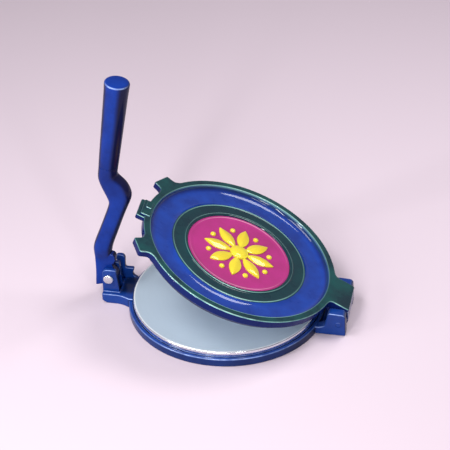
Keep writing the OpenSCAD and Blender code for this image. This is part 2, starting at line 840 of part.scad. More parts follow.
// Raised ornament: a round centre, leaf-shaped petals and a bead between each two.
module medallion_rosette() {
    tip = rosette_hub_r * 0.8 + petal_l;
    color(yellow)
        opened()
            translate([0, 0, medal_floor])
                difference() {
                    union() {
                        rotate_extrude()
                            polygon(rounded([
                                [0, 0, 0],
                                [rosette_hub_r, 0, 0],
                                [rosette_hub_r, rosette_h * 0.8, 0.8],
                                [rosette_hub_r * 0.55, rosette_h * 1.4, 3],
                                [0, rosette_h * 1.4, 0]]));
                        for (i = [0:petal_count - 1])
                            rotate([0, 0, i * 360 / petal_count]) {
                                translate([rosette_hub_r * 0.8, 0, 0])
                                    linear_extrude(height = rosette_h)
                                        leaf(petal_l, petal_w);
                                rotate([0, 0, 180 / petal_count])
                                    translate([tip - 1.5 * rosette_bead_r, 0, 0])
                                        cylinder(r = rosette_bead_r, h = rosette_h * 0.8, $fn = 32);
                            }
                    }
                    translate([0, 0, -through])
                        cylinder(d = medal_head_d + 2 * hole_gap, h = medal_head_h + hole_gap + through);
                }
}

// ---- Lever, drawn from its pivot ----

// One ring of points round the arm, at station i and fraction t of the way to the next.
function arm_ring(i, t) =
    let (l = smooth(left_edge, i, t),
         r = smooth(right_edge, i, t),
         depth = smooth(half_depth, i, t),
         power = i + t > 9 ? arm_square + (1 - arm_square) * min(1, (i + t - 9) / 2) : arm_square)
    [for (k = [0:arm_sides - 1])
        let (a = 360 * k / arm_sides,
             u = sign(cos(a)) * pow(abs(cos(a)), power),
             v = sign(sin(a)) * pow(abs(sin(a)), power),
             p = (l + r) / 2 + u * (r - l) / 2)
        [p[0], v * depth, p[1]]];

module arm_sweep() {
    last = len(left_edge) - 1;
    rings = concat(
        [for (i = [0:last - 1]) for (k = [0:arm_steps - 1]) arm_ring(i, k / arm_steps)],
        [arm_ring(last, 0)]);
    n = arm_sides;
    m = len(rings);
    polyhedron(
        points = [for (r = rings) each r],
        faces = concat(
            [[for (k = [0:n - 1]) k]],
            [[for (k = [n - 1:-1:0]) (m - 1) * n + k]],
            [for (j = [0:m - 2]) for (k = [0:n - 1])
                let (a = j * n + k,
                     b = j * n + (k + 1) % n)
                each [[a, a + n, b], [b, a + n, b + n]]]));
}

// Flat tang between the ears: an eye round the bush, a heel behind it, a root in the arm and a nose.
module tang() {
    half = tang_t / 2;
    along_y(-half, half)
        polygon(rounded(tang_outline));
    along_y(-half, half)
        polygon(rounded(nose_outline));
    bar_y(0, 0, eye_r, -half, half);
}

// Places what follows at the top of the arm, along the grip's axis.
module along_grip() {
    translate([pivot_x + arm_top[0], 0, pivot_h + arm_top[1]])
        rotate([0, grip_lean, 0])
            children();
}

module lever_arm() {
    color(blue) {
        difference() {
            translate([pivot_x, 0, pivot_h]) {
                arm_sweep();
                tang();
            }
            bar_y(pivot_x, pivot_h, bush_r + fit, -slot_w, slot_w);
        }
        along_grip()
            translate([0, 0, -2 * through])
                cylinder(d = rod_d, h = rod_l + 2 * through);
    }
}

module lever_bush() {
    half = tang_t / 2;
    color(steel)
        difference() {
            bar_y(pivot_x, pivot_h, bush_r, -half, half);
            bar_y(pivot_x, pivot_h, pin_d / 2 + fit, -half - through, half + through);
        }
}

// Closed sleeve that swells towards its flat, bevelled top.
module lever_grip() {
    color(blue)
        along_grip()
            rotate_extrude()
                polygon(rounded([
                    [rod_d / 2 + fit, 0, 0],
                    [grip_d_low / 2, 0, grip_crown],
                    [grip_d_top / 2, grip_l, grip_bevel],
                    [grip_d_top / 2 - 2 * grip_bevel, grip_l + grip_crown, soft_r],
                    [0, grip_l + grip_crown, 0],
                    [0, rod_l + through, 0],
                    [rod_d / 2 + fit, rod_l + through, 0]]));
}

base_casting();
base_press_plate();
base_plate_screws();
base_plate_washers();
hinge_pin();
hinge_set_screws();
hinge_shims();
lever_pin();
lever_pin_washer();
lever_split_pin();
lever_shims();
lid_casting();
lid_press_plate();
lid_plate_screws();
lid_plate_washers();
lid_medallion();
medallion_screw();
medallion_rosette();
lever_arm();
lever_bush();
lever_grip();
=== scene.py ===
import json
import math

import bmesh
import bpy
from mathutils import Matrix, Vector


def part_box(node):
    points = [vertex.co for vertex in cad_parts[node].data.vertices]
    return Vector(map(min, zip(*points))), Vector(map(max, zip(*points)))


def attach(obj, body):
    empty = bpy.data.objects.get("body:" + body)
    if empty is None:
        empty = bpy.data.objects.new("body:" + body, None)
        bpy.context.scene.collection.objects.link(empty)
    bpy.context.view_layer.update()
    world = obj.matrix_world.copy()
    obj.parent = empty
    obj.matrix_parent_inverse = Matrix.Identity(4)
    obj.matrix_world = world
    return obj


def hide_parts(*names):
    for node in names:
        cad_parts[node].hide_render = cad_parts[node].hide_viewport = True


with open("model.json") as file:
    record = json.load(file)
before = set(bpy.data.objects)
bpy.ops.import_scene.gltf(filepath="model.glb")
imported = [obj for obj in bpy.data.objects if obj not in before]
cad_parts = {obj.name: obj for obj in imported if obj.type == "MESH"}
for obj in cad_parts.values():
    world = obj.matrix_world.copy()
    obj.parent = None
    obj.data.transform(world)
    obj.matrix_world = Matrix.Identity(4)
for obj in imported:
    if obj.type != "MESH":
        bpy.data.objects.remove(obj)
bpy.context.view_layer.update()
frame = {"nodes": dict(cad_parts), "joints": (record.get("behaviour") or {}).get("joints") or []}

# Pieces are drawn in millimetres and scaled to metres when they are finished. Lengths inside materials,
# the floor and the lamps are in metres.
MM = 0.001

# ---------------------------------------------------------------- sizes from the frame

JOINTS = {joint["name"]: joint for joint in frame["joints"]}
HINGE = Vector(JOINTS["lid_hinge"]["pos_m"]) / MM
PIVOT = Vector(JOINTS["lever_pivot"]["pos_m"]) / MM
LID_OPEN = math.radians(-JOINTS["lid_hinge"]["range_deg"][0])


def cad_span(node):
    """A CAD node's lowest and highest corners, in millimetres."""
    low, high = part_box(node)
    return low / MM, high / MM


PLATE_LOW, PLATE_HIGH = cad_span("base_press_plate")
PLATE_R = PLATE_HIGH.x
SEAT_Z = PLATE_LOW.z
PLATE_TOP = PLATE_HIGH.z

# ---------------------------------------------------------------- sizes of the castings

EDGE_GAP = 0.5
BASE_R = PLATE_R + EDGE_GAP + 4.1
BASE_RIM_H = 9.3
WEB_LOW = 3.5
FOOT_R = 15.0

LID_FACE = PLATE_TOP + 0.3
LID_SEAT = LID_FACE + 4.9
RIM_TOP = LID_SEAT + 11.3
SIDE_LOW = RIM_TOP - 9.0
CHANNEL_Z = LID_SEAT + 4.2
MEDAL_TOP = LID_SEAT + 6.2
MEDAL_FLOOR = MEDAL_TOP - 0.6
LID_R = BASE_R + 2.5
RIM_IN = LID_R - 7.6
RING_R = 73.4
BEAD_R = 60.6
MEDAL_R = 56.7

TURN_STEPS = 180
FINE_STEPS = 240

# ---------------------------------------------------------------- shader maths


class Signal:
    """One output socket of a node tree, with arithmetic that adds Math nodes."""

    def __init__(self, nodes, socket):
        self.nodes = nodes
        self.socket = socket

    def math(self, operation, *values):
        """This signal after a Math node's operation, with further values where it takes them."""
        return self.nodes.node("ShaderNodeMath", {"operation": operation}, dict(enumerate((self,) + values)))

    def __add__(self, other):
        return self.math("ADD", other)

    def __sub__(self, other):
        return self.math("SUBTRACT", other)

    def __mul__(self, other):
        return self.math("MULTIPLY", other)

    def __truediv__(self, other):
        return self.math("DIVIDE", other)

    def __rsub__(self, other):
        return self.nodes.node("ShaderNodeMath", {"operation": "SUBTRACT"}, {0: other, 1: self})

    __radd__ = __add__
    __rmul__ = __mul__

    def step(self, edge, softness):
        """0 below the edge and 1 above it, over a width of twice the softness."""
        return self.nodes.node("ShaderNodeMapRange", {"interpolation_type": "SMOOTHSTEP"},
                               {"Value": self, "From Min": edge - softness, "From Max": edge + softness})


class Nodes:
    """A node tree, and the one method that adds to it."""

    def __init__(self, tree):
        self.tree = tree

    def node(self, kind, settings=None, sockets=None, out=0):
        """Adds one node: first its settings, then the values or links of its sockets."""
        made = self.tree.nodes.new(kind)
        for key, value in (settings or {}).items():
            if key == "stops":
                ramp = made.color_ramp
                while len(ramp.elements) < len(value):
                    ramp.elements.new(0.5)
                for element, (place, colour) in zip(ramp.elements, value):
                    element.position = place
                    element.color = colour
            else:
                setattr(made, key, value)
        for key, value in (sockets or {}).items():
            if isinstance(value, Signal):
                self.tree.links.new(value.socket, made.inputs[key])
            else:
                made.inputs[key].default_value = value
        return Signal(self, made.outputs[out]) if made.outputs else None


class Finish(Nodes):
    """A procedural material: its nodes feed one Principled shader."""

    def __init__(self, name, **steady):
        self.material = bpy.data.materials.new(name)
        self.material.use_nodes = True
        super().__init__(self.material.node_tree)
        self.shader = self.tree.nodes["Principled BSDF"]
        for socket, value in steady.items():
            self.shader.inputs[socket.replace("_", " ").title().replace("Ior", "IOR")].default_value = value

    def place(self):
        """Object coordinates, in metres."""
        return self.node("ShaderNodeTexCoord", out="Object")

    def noise(self, place, scale, detail=3.0, rough=0.55):
        """Cloudy noise from 0 to 1."""
        return self.node("ShaderNodeTexNoise", {},
                         {"Vector": place, "Scale": scale, "Detail": detail, "Roughness": rough})

    def blend(self, amount, low, high):
        """Mixes two colours or colour signals."""
        return self.node("ShaderNodeMix", {"data_type": "RGBA"}, {"Factor": amount, 6: low, 7: high}, out=2)

    def facing(self, way):
        """How far the surface faces a direction: 1 towards it, 0 square to it."""
        return self.node("ShaderNodeVectorMath", {"operation": "DOT_PRODUCT"},
                         {0: self.node("ShaderNodeTexCoord", out="Normal"), 1: way}, out="Value")

    def parts_of(self, place):
        """The X, Y and Z of a vector."""
        split = self.node("ShaderNodeSeparateXYZ", {}, {"Vector": place})
        return [Signal(self, output) for output in split.socket.node.outputs]

    def tint(self, colour, amount):
        """Multiplies a colour's brightness by a number signal."""
        return self.node("ShaderNodeVectorMath", {"operation": "SCALE"},
                         {0: colour if isinstance(colour, Signal) else colour[:3], "Scale": amount})

    def bump(self, height, distance, strength=1.0, below=None):
        """A normal for a height signal, over another bump if one is given."""
        sockets = {"Height": height, "Distance": distance, "Strength": strength}
        if below is not None:
            sockets["Normal"] = below
        return self.node("ShaderNodeBump", {}, sockets)

    def feed(self, **signals):
        """Links signals to the shader's sockets and returns the material."""
        for socket, signal in signals.items():
            self.tree.links.new(signal.socket, self.shader.inputs[socket.replace("_", " ").title()])
        return self.material


def rgb(red, green, blue):
    """An opaque colour, in linear values."""
    return (red, green, blue, 1.0)


# ---------------------------------------------------------------- materials

# Each enamel has a main tone and a deeper one that it is clouded with. The darkest tones are painted
# shade, and the palest ones painted highlights along edges.
BLUE = rgb(0.008, 0.052, 0.350)
BLUE_DEEP = rgb(0.006, 0.030, 0.220)
BLUE_SHADE = rgb(0.003, 0.012, 0.100)
BLUE_HIGHLIGHT = rgb(0.300, 0.420, 0.780)
BASE_BLUE = rgb(0.007, 0.050, 0.280)
BASE_DEEP = rgb(0.005, 0.028, 0.175)
BASE_SHADE = rgb(0.002, 0.006, 0.025)
LEVER_BLUE = rgb(0.004, 0.036, 0.280)
LEVER_DEEP = rgb(0.003, 0.018, 0.150)
LEVER_SHADE = rgb(0.006, 0.005, 0.020)
GREEN = rgb(0.003, 0.066, 0.066)
GREEN_DEEP = rgb(0.002, 0.024, 0.036)
GREEN_HIGHLIGHT = rgb(0.360, 0.720, 0.640)
PINK = rgb(0.440, 0.028, 0.210)
PINK_DEEP = rgb(0.360, 0.026, 0.160)
PINK_HIGHLIGHT = rgb(0.850, 0.420, 0.560)
YELLOW = rgb(0.800, 0.680, 0.040)
YELLOW_DEEP = rgb(0.70, 0.52, 0.03)
PLATE_GREY = rgb(0.48, 0.58, 0.67)
# The pale plate tone is the lower plate's polished edge and a painted highlight near the rim; the dull one is
# painted shade on the upper plate's edge.
PLATE_POLISH_AND_HIGHLIGHT = rgb(0.84, 0.87, 0.90)
PLATE_SHADED_EDGE = rgb(0.07, 0.09, 0.15)
STEEL_TONE = rgb(0.72, 0.74, 0.76)
ZINC_TONE = rgb(0.56, 0.58, 0.60)

GLOSS = {"coat_weight": 0.75, "coat_roughness": 0.05, "specular_ior_level": 0.04}
BASE_GLOSS = {"coat_weight": 0.45, "coat_roughness": 0.05, "specular_ior_level": 0.04}
LOW_GLOSS = {"coat_weight": 0.3, "coat_roughness": 0.06, "specular_ior_level": 0.02}


def cast_relief(finish, place):
    """The faint unevenness of a casting under enamel, with the enamel's own fine ripple on it."""
    waves = finish.bump(finish.noise(place, 75, 2), 0.00016)
    return finish.bump(finish.noise(place, 420, 3), 0.00003, below=waves)


def painted_edge_highlight(finish, place, facing):
    """Painted highlight on the roundings between tops and sides, strongest on those that face front or back.
    """
    rounding = facing.step(0.38, 0.16) * (1 - facing.step(0.92, 0.05))
    across = finish.facing((0, 1, 0))
    highlight_weight = 0.12 + (across * across) / (1.02 - facing * facing) * 0.88
    return rounding * highlight_weight * (0.40 + finish.noise(place, 110, 3).step(0.5, 0.18) * 0.50)


def base_painted_shade(finish, place):
    """Painted shade on the base: sides that face the hinge, the rim's wall, and the corner between
    the ears and the rim."""
    x, y, z = finish.parts_of(place)
    radius = (x * x + y * y).math("SQRT")
    corner = (x.step((PIVOT.x + 13) * MM, 0.002) * (1 - x.step(-(BASE_R - 5) * MM, 0.003))
              * y.step(-0.010, 0.004) * (1 - y.step(0.019, 0.002)) * (1 - z.step(0.0215, 0.004)))
    wall = ((1 - finish.facing((0, 0, 1)).step(0.35, 0.25)) * (1 - z.step((BASE_RIM_H + 1) * MM, 0.001))
            * (1 - radius.step((BASE_R + 0.8) * MM, 0.0006)))
    sides = finish.facing((1, 0, 0)).step(0.60, 0.30)
    return sides.math("MAXIMUM", corner).math("MAXIMUM", wall * 0.6) * 0.85


def lever_painted_shade(finish, place):
    """Painted shade on the lever: the sides that face the lid and away from it."""
    towards = finish.facing((1, 0, 0)).step(0.32, 0.24)
    return towards.math("MAXIMUM", finish.facing((-1, 0, 0)).step(0.74, 0.14)) * 0.9


def enamel(name, light, deep, edge=None, lowest=None, dark=None, shade_mask=None, gloss=GLOSS):
    """Glossy enamel in two clouded tones. It may carry painted shade in places, and on its roundings, above
    the lowest height if one is given, a painted highlight in an edge colour."""
    finish = Finish(name, **gloss)
    place = finish.place()
    cloud = finish.noise(place, 38, 4)
    grain = finish.noise(place, 900, 2)
    colour = finish.blend(cloud.step(0.5, 0.28), deep, light)
    if dark:
        colour = finish.blend(shade_mask(finish, place), colour, dark)
    if edge:
        highlight_amount = painted_edge_highlight(finish, place, finish.facing((0, 0, 1)))
        if lowest:
            highlight_amount = highlight_amount * finish.parts_of(place)[2].step(lowest * MM, 0.001)
        colour = finish.blend(highlight_amount, colour, edge)
    return finish.feed(base_color=finish.tint(colour, 0.94 + grain * 0.12),
                       roughness=0.24 + cloud * 0.12,
                       normal=cast_relief(finish, place))


def shut_place(finish, place):
    """Turns the open lid's coordinates back to those of the shut lid."""
    back = Matrix.Rotation(-LID_OPEN, 3, "Y")
    hinge = HINGE * MM
    shift = hinge - back @ hinge
    return finish.node("ShaderNodeMapping", {"vector_type": "POINT"},
                       {"Vector": place, "Location": shift, "Rotation": (0, -LID_OPEN, 0)})


def circle_line(radius, middle, half, softness):
    """A thin line round the lid's centre, of a middle radius and a half width in millimetres."""
    return (radius.step((middle - half) * MM, softness * MM)
            * (1 - radius.step((middle + half) * MM, softness * MM)))


def lid_enamel(name):
    """Blue enamel, with green on the rim's flat top, its lugs and tongue, and on the raised ring. Its side
    wall and hollow curve are darkened as painted shade, and pale lines on its edges and rings are painted
    highlights.
    """
    finish = Finish(name, **GLOSS)
    place = finish.place()
    x, y, z = finish.parts_of(shut_place(finish, place))
    radius = (x * x + y * y).math("SQRT")
    facing = finish.facing((math.sin(LID_OPEN), 0, math.cos(LID_OPEN)))
    ragged = radius + finish.noise(place, 160, 2) * 0.0010 - 0.0005
    above = z.step((SIDE_LOW + 3.0) * MM, 0.0008)
    rim = facing.step(0.45, 0.16) * ragged.step((RIM_IN - 0.9) * MM, 0.0005) * above
    band = ragged.step(MEDAL_R * MM, 0.0003) * (1 - ragged.step((RING_R + 1.0) * MM, 0.0006))
    green = rim.math("MAXIMUM", band)
    cloud = finish.noise(place, 42, 4)
    grain = finish.noise(place, 900, 2)
    blues = finish.blend(cloud.step(0.5, 0.28), BLUE_DEEP, BLUE)
    # Painted shade: the side wall and the hollow curve are darkened.
    wall = (1 - facing.step(0.30, 0.12)) * radius.step((RIM_IN + 1) * MM, 0.0005)
    blues = finish.blend(wall, blues, BLUE_SHADE)
    cove = circle_line(radius, RIM_IN - 3.6, 4.4, 0.8) * (1 - facing.step(0.82, 0.16))
    blues = finish.blend(cove * 0.75, blues, BLUE_SHADE)
    greens = finish.blend(cloud.step(0.52, 0.24), GREEN_DEEP, GREEN)
    greens = finish.blend(band * 0.6, greens, GREEN_DEEP)
    colour = finish.blend(green, blues, greens)
    # Painted highlights: pale lines on the roundings, round the ring, the bead and the rim's inner edge,
    # strongest in front and behind.
    edges = painted_edge_highlight(finish, place, facing) * radius.step((RIM_IN + 1.2) * MM, 0.0004)
    highlight_weight = (y * y) / (radius * radius) * 0.8 + 0.2
    lines = (circle_line(radius, RING_R - 0.5, 0.55, 0.35) + circle_line(radius, BEAD_R - 0.6, 0.4, 0.3) * 0.8
             + circle_line(radius, RIM_IN + 0.4, 0.5, 0.3) * 0.9)
    pale = edges.math("MAXIMUM", lines * highlight_weight * (0.45 + finish.noise(place, 60, 2) * 0.6))
    colour = finish.blend(pale, colour, GREEN_HIGHLIGHT)
    return finish.feed(base_color=finish.tint(colour, 0.92 + grain * 0.16),
                       roughness=0.22 + cloud * 0.12,
                       coat_weight=GLOSS["coat_weight"] - wall * 0.55,
                       normal=cast_relief(finish, place))


def medallion_enamel(name):
    """Pink enamel with a pale line, a painted highlight, where the edge drops to the dish."""
    finish = Finish(name, **GLOSS)
    place = finish.place()
    x, y, _ = finish.parts_of(shut_place(finish, place))
    radius = (x * x + y * y).math("SQRT")
    cloud = finish.noise(place, 38, 4)
    colour = finish.blend(cloud.step(0.5, 0.28), PINK_DEEP, PINK)
    # Painted highlight, strongest in front and behind.
    line = circle_line(radius, MEDAL_R - 2.4, 0.5, 0.4) * ((y * y) / (radius * radius))
    colour = finish.blend(line * (0.3 + cloud * 0.7), colour, PINK_HIGHLIGHT)
    return finish.feed(base_color=finish.tint(colour, 0.94 + finish.noise(place, 900, 2) * 0.12),
                       roughness=0.24 + cloud * 0.12,
                       normal=cast_relief(finish, place))


def turned_metal(name, colour, edge, tilt=0.0):
    """Satin metal with the fine rings that a lathe leaves, a pale border that is a painted highlight, and a
    polished edge in a given colour.
    """
    finish = Finish(name, specular_ior_level=0.5)
    place = finish.place()
    x, y, _ = finish.parts_of(shut_place(finish, place) if tilt else place)
    radius = (x * x + y * y).math("SQRT")
    along = finish.node("ShaderNodeCombineXYZ", {}, {"X": radius})
    rings = finish.noise(along, 2600, 2, 0.6)
    broad = finish.noise(along, 260, 2)
    stain = finish.noise(place, 28, 4)
    flat = finish.facing((math.sin(tilt), 0, math.cos(tilt))).math("ABSOLUTE").step(0.93, 0.05)
    tone = 0.93 + rings * 0.05 + broad * 0.05 + stain * 0.06
    # Painted highlight: a pale border near the plate's rim.
    border = radius.step((PLATE_R - 2.4) * MM, 0.0003)
    face = finish.blend(border * 0.8, colour, PLATE_POLISH_AND_HIGHLIGHT)
    return finish.feed(base_color=finish.tint(finish.blend(flat, edge, face), tone),
                       metallic=1 - flat * 0.8,
                       roughness=0.17 + flat * 0.21 + (rings * 0.10 + stain * 0.08) * (0.2 + flat * 0.8),
                       normal=finish.bump(rings * flat, 0.000010))


def bright_metal(name, colour, roughness, scratch=0.00002):
    """Bare metal with faint streaks and blots, for pins, screws and washers."""
    finish = Finish(name, metallic=1.0)
    place = finish.place()
    streak = finish.noise(finish.node("ShaderNodeMapping", {"vector_type": "POINT"},
                                      {"Vector": place, "Scale": (300, 60, 300)}), 3, 3)
    blot = finish.noise(place, 220, 3)
    return finish.feed(base_color=finish.tint(colour, 0.86 + blot * 0.22),
                       roughness=roughness + streak * 0.12,
                       normal=finish.bump(streak, scratch))


# The grip carries a painted highlight on its roundings only round its top, above this height.
GRIP_HIGHLIGHT_Z = 255

# The base, lever and grip enamels carry painted shade; the base and grip enamels carry painted highlights on
# their roundings.
BLUE_ENAMEL = enamel("blue_enamel", BASE_BLUE, BASE_DEEP, BLUE_HIGHLIGHT, dark=BASE_SHADE, shade_mask=base_painted_shade,
                     gloss=BASE_GLOSS)
LEVER_ENAMEL = enamel("lever_enamel", LEVER_BLUE, LEVER_DEEP, dark=LEVER_SHADE, shade_mask=lever_painted_shade,
                      gloss=LOW_GLOSS)
GRIP_PLASTIC = enamel("grip_plastic", LEVER_BLUE, LEVER_DEEP, BLUE_HIGHLIGHT, GRIP_HIGHLIGHT_Z, LEVER_SHADE,
                      lever_painted_shade, LOW_GLOSS)
LID_ENAMEL = lid_enamel("lid_enamel")
PINK_ENAMEL = medallion_enamel("pink_enamel")
YELLOW_ENAMEL = enamel("yellow_enamel", YELLOW, YELLOW_DEEP)
# The upper plate's dark edge colour is painted shade.
BASE_PLATE_METAL = turned_metal("polished_plate", PLATE_GREY, PLATE_POLISH_AND_HIGHLIGHT)
LID_PLATE_METAL = turned_metal("polished_plate_lid", PLATE_GREY, PLATE_SHADED_EDGE, LID_OPEN)
STEEL = bright_metal("steel", STEEL_TONE, 0.20)
ZINC = bright_metal("zinc", ZINC_TONE, 0.34)

# ---------------------------------------------------------------- modelling helpers

SMOOTH_ANGLE = math.radians(40)
TINY = 0.0005


def once_each(elements):
    """The elements without repeats, in the order that they came."""
    return list(dict.fromkeys(elements))


def round_off(bm, geometry, offset, affect="EDGES", segments=4):
    """Rounds edges, or corners seen flat, to a radius."""
    bmesh.ops.bevel(bm, geom=geometry, offset=offset, offset_type="OFFSET", affect=affect, segments=segments,
                    profile=0.5, material=-1)


def drawn(outline, lay):
    """A flat face through the points of an outline. A third number is the radius of that corner."""
    bm = bmesh.new()
    corners = {}
    for point in outline:
        vert = bm.verts.new(lay(point[0], point[1]))
        if len(point) > 2:
            corners.setdefault(point[2], []).append(vert)
    bm.faces.new(bm.verts[:])
    for radius, verts in corners.items():
        round_off(bm, verts, radius, "VERTICES", 6)
    return bm


def raised(bm, push, edge=0.0, segments=4, rims="both"):
    """Makes the flat face solid, and rounds the edges round its two ends, or round the far one alone."""
    extruded = bmesh.ops.extrude_face_region(bm, geom=bm.faces[:])["geom"]
    bmesh.ops.translate(bm, verts=[g for g in extruded if isinstance(g, bmesh.types.BMVert)], vec=push)
    bmesh.ops.recalc_face_normals(bm, faces=bm.faces)
    if edge:
        way = Vector(push).normalized()
        ends = [f for f in bm.faces if abs(f.normal.dot(way)) > 0.99]
        if rims == "far":
            ends = [f for f in ends if f.normal.dot(way) > 0]
        round_off(bm, once_each(e for f in ends for e in f.edges), edge, segments=segments)
    return bm


def across_y(outline, low, high, edge=0.0, segments=4):
    """A solid with an outline of [x, z] points between two faces along Y."""
    return raised(drawn(outline, lambda x, z: (x, low, z)), (0, high - low, 0), edge, segments)


def up_z(outline, low, high, edge=0.0, segments=4):
    """A solid with an outline of [x, y] points between two heights."""
    return raised(drawn(outline, lambda x, y: (x, y, low)), (0, 0, high - low), edge, segments)


def turned(profile, steps=TURN_STEPS):
    """A solid turned about Z from a closed profile of [radius, height] points."""
    bm = drawn(profile, lambda r, z: (r, 0, z))
    for face in bm.faces[:]:
        bm.faces.remove(face)
    for edge in bm.edges[:]:
        if all(v.co.x < TINY for v in edge.verts):
            bm.edges.remove(edge)
    bmesh.ops.spin(bm, geom=bm.verts[:] + bm.edges[:], cent=(0, 0, 0), axis=(0, 0, 1),
                   angle=math.tau, steps=steps, use_merge=True)
    bmesh.ops.remove_doubles(bm, verts=bm.verts, dist=TINY)
    bmesh.ops.recalc_face_normals(bm, faces=bm.faces)
    return bm


def lying(bm, x, y, z):
    """Lays a turned piece down, so that its axis runs along Y and its foot is at y."""
    bmesh.ops.rotate(bm, verts=bm.verts, cent=(0, 0, 0), matrix=Matrix.Rotation(-math.pi / 2, 3, "X"))
    return moved(bm, x, y, z)


def moved(bm, x=0.0, y=0.0, z=0.0):
    """Shifts a shape and returns it."""
    bmesh.ops.translate(bm, verts=bm.verts, vec=(x, y, z))
    return bm


def swung(bm, degrees, axis="Z", centre=(0, 0, 0)):
    """Turns a shape about an axis through a point and returns it."""
    turn = Matrix.Rotation(math.radians(degrees), 3, axis)
    bmesh.ops.rotate(bm, verts=bm.verts, cent=centre, matrix=turn)
    return bm


def bar(radius, length, edge=0.0, steps=64):
    """A round bar on the Z axis, from height 0 up."""
    rounded = (edge,) if edge else ()
    return turned([(0, 0), (radius, 0) + rounded, (radius, length) + rounded, (0, length)], steps)


def ring(inner, outer, height, edge=0.0, steps=64):
    """A round ring on the Z axis, from height 0 up."""
    rounded = (edge,) if edge else ()
    corners = [(inner, 0), (outer, 0), (outer, height), (inner, height)]
    return turned([corner + rounded for corner in corners], steps)


def together(*parts):
    """Several shapes in one mesh, each closed in itself."""
    bm = bmesh.new()
    for part in parts:
        carrier = bpy.data.meshes.new("carrier")
        part.to_mesh(carrier)
        part.free()
        bm.from_mesh(carrier)
        bpy.data.meshes.remove(carrier)
    return bm


def stock(bm):
    """An object for the modifiers of worked(), which deletes it."""
    mesh = bpy.data.meshes.new("stock")
    bm.to_mesh(mesh)
    bm.free()
    piece = bpy.data.objects.new("stock", mesh)
    bpy.context.scene.collection.objects.link(piece)
    return piece


def worked(bm, added=(), cut=(), smooth=0):
    """Fuses solids to a shape, cuts others out of it, or subdivides it, and closes any slit that is left."""
    body = stock(bm)
    tools = []
    for operation, parts in (("UNION", added), ("DIFFERENCE", cut)):
        for part in parts:
            tool = stock(part)
            tools.append(tool)
            boolean = body.modifiers.new("boolean", "BOOLEAN")
            boolean.operation = operation
            boolean.solver = "EXACT"
            boolean.object = tool
    if smooth:
        subdivision = body.modifiers.new("subdivision", "SUBSURF")
        subdivision.levels = subdivision.render_levels = smooth
    bpy.context.view_layer.update()
    result = bmesh.new()
    result.from_object(body, bpy.context.evaluated_depsgraph_get())
    for piece in [body] + tools:
        mesh = piece.data
        bpy.data.objects.remove(piece)
        bpy.data.meshes.remove(mesh)
    bmesh.ops.remove_doubles(result, verts=result.verts, dist=TINY)
    slits = [edge for edge in result.edges if edge.is_boundary]
    if slits:
        bmesh.ops.holes_fill(result, edges=slits, sides=0)
        bmesh.ops.dissolve_degenerate(result, edges=result.edges, dist=TINY)
    return result


def finished(bm, name, material, body, replaces=(), opened=False):
    """Makes a piece of a shape drawn in millimetres. The lid's pieces are drawn shut, then opened."""
    if opened:
        swung(bm, math.degrees(LID_OPEN), "Y", HINGE)
    bmesh.ops.scale(bm, verts=bm.verts, vec=(MM, MM, MM))
    bmesh.ops.recalc_face_normals(bm, faces=bm.faces)
    mesh = bpy.data.meshes.new(name)
    bm.to_mesh(mesh)
    bm.free()
    mesh.polygons.foreach_set("use_smooth", [True] * len(mesh.polygons))
    mesh.set_sharp_from_angle(angle=SMOOTH_ANGLE)
    mesh.materials.append(material)
    piece = bpy.data.objects.new(name, mesh)
    bpy.context.scene.collection.objects.link(piece)
    weighted = piece.modifiers.new("weighted", "WEIGHTED_NORMAL")
    weighted.keep_sharp = True
    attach(piece, body)
    if replaces:
        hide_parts(*replaces)
    return piece


# ---------------------------------------------------------------- the base

BRACKET_X = PIVOT.x - 6.7
BRACKET_HALF = 16.0
BRACKET_H = 11.5
EAR_IN, EAR_OUT = 5.5, 10.4
EAR_TOP = PIVOT.z + 11.5
WING_TOP = 38.4
WING_SIDES = 20.02, 24.78
LUG_IN, LUG_OUT = 22.0, 33.0
PIN_R = 4.0
HINGE_PIN_R = 3.0
SCREW_CIRCLE = 42.0
SCREW_R = 2.5
SCREW_HOLE_R = 2.75
SCREW_SINK_R = 5.5
LOWER_SCREW_TURN = 22.5
RIBS = 8


def round_the_plate(make, turn, count=4):
    """Copies of a shape round the plate's centre, on the circle of screws."""
    return [swung(moved(make(), x=SCREW_CIRCLE), turn + i * 360 / count) for i in range(count)]


def base_dish():
    """The dish under the lower plate: a round foot, a thin web and the rim."""
    inner = PLATE_R + EDGE_GAP
    return turned([(0, 0), (FOOT_R, 0, 0.8), (FOOT_R, WEB_LOW, 1.2), (BASE_R - 7, WEB_LOW, 1.2),
                   (BASE_R - 7, 0, 0.6), (BASE_R, 0, 1.2), (BASE_R, BASE_RIM_H, 1.6),
                   (inner, BASE_RIM_H, 0.8), (inner, SEAT_Z), (0, SEAT_Z)])


def bracket_block():
    """Block under the ears, wider where it meets the rim, with a chamfered lower end."""
    flare = BRACKET_HALF + 4.5
    near, far, inside = -(BASE_R + 7.4), -(BASE_R - 1.6), -97
    block = up_z([(BRACKET_X, -BRACKET_HALF, 2), (near, -BRACKET_HALF, 5), (far, -flare), (inside, -flare),
                  (inside, flare), (far, flare), (near, BRACKET_HALF, 5), (BRACKET_X, BRACKET_HALF, 2)],
                 0, BRACKET_H, 1.3, 5)
    shave = across_y([(BRACKET_X - 9, -2), (BRACKET_X + 6.5, -2), (BRACKET_X + 6.5, 0), (BRACKET_X - 1, 4.9),
                      (BRACKET_X - 9, 4.9)], -30, 30)
    return worked(block, cut=[shave])


def ear(low, high):
    """One of the two ears that hold the lever's pin."""
    inner = PIVOT.x + 11.8
    return across_y([(BRACKET_X, 7), (inner, 7), (inner, BRACKET_H + 1.2, 2), (PIVOT.x + 8.5, EAR_TOP, 2.1),
                     (BRACKET_X, EAR_TOP, 5.5)], low, high, 1.0)


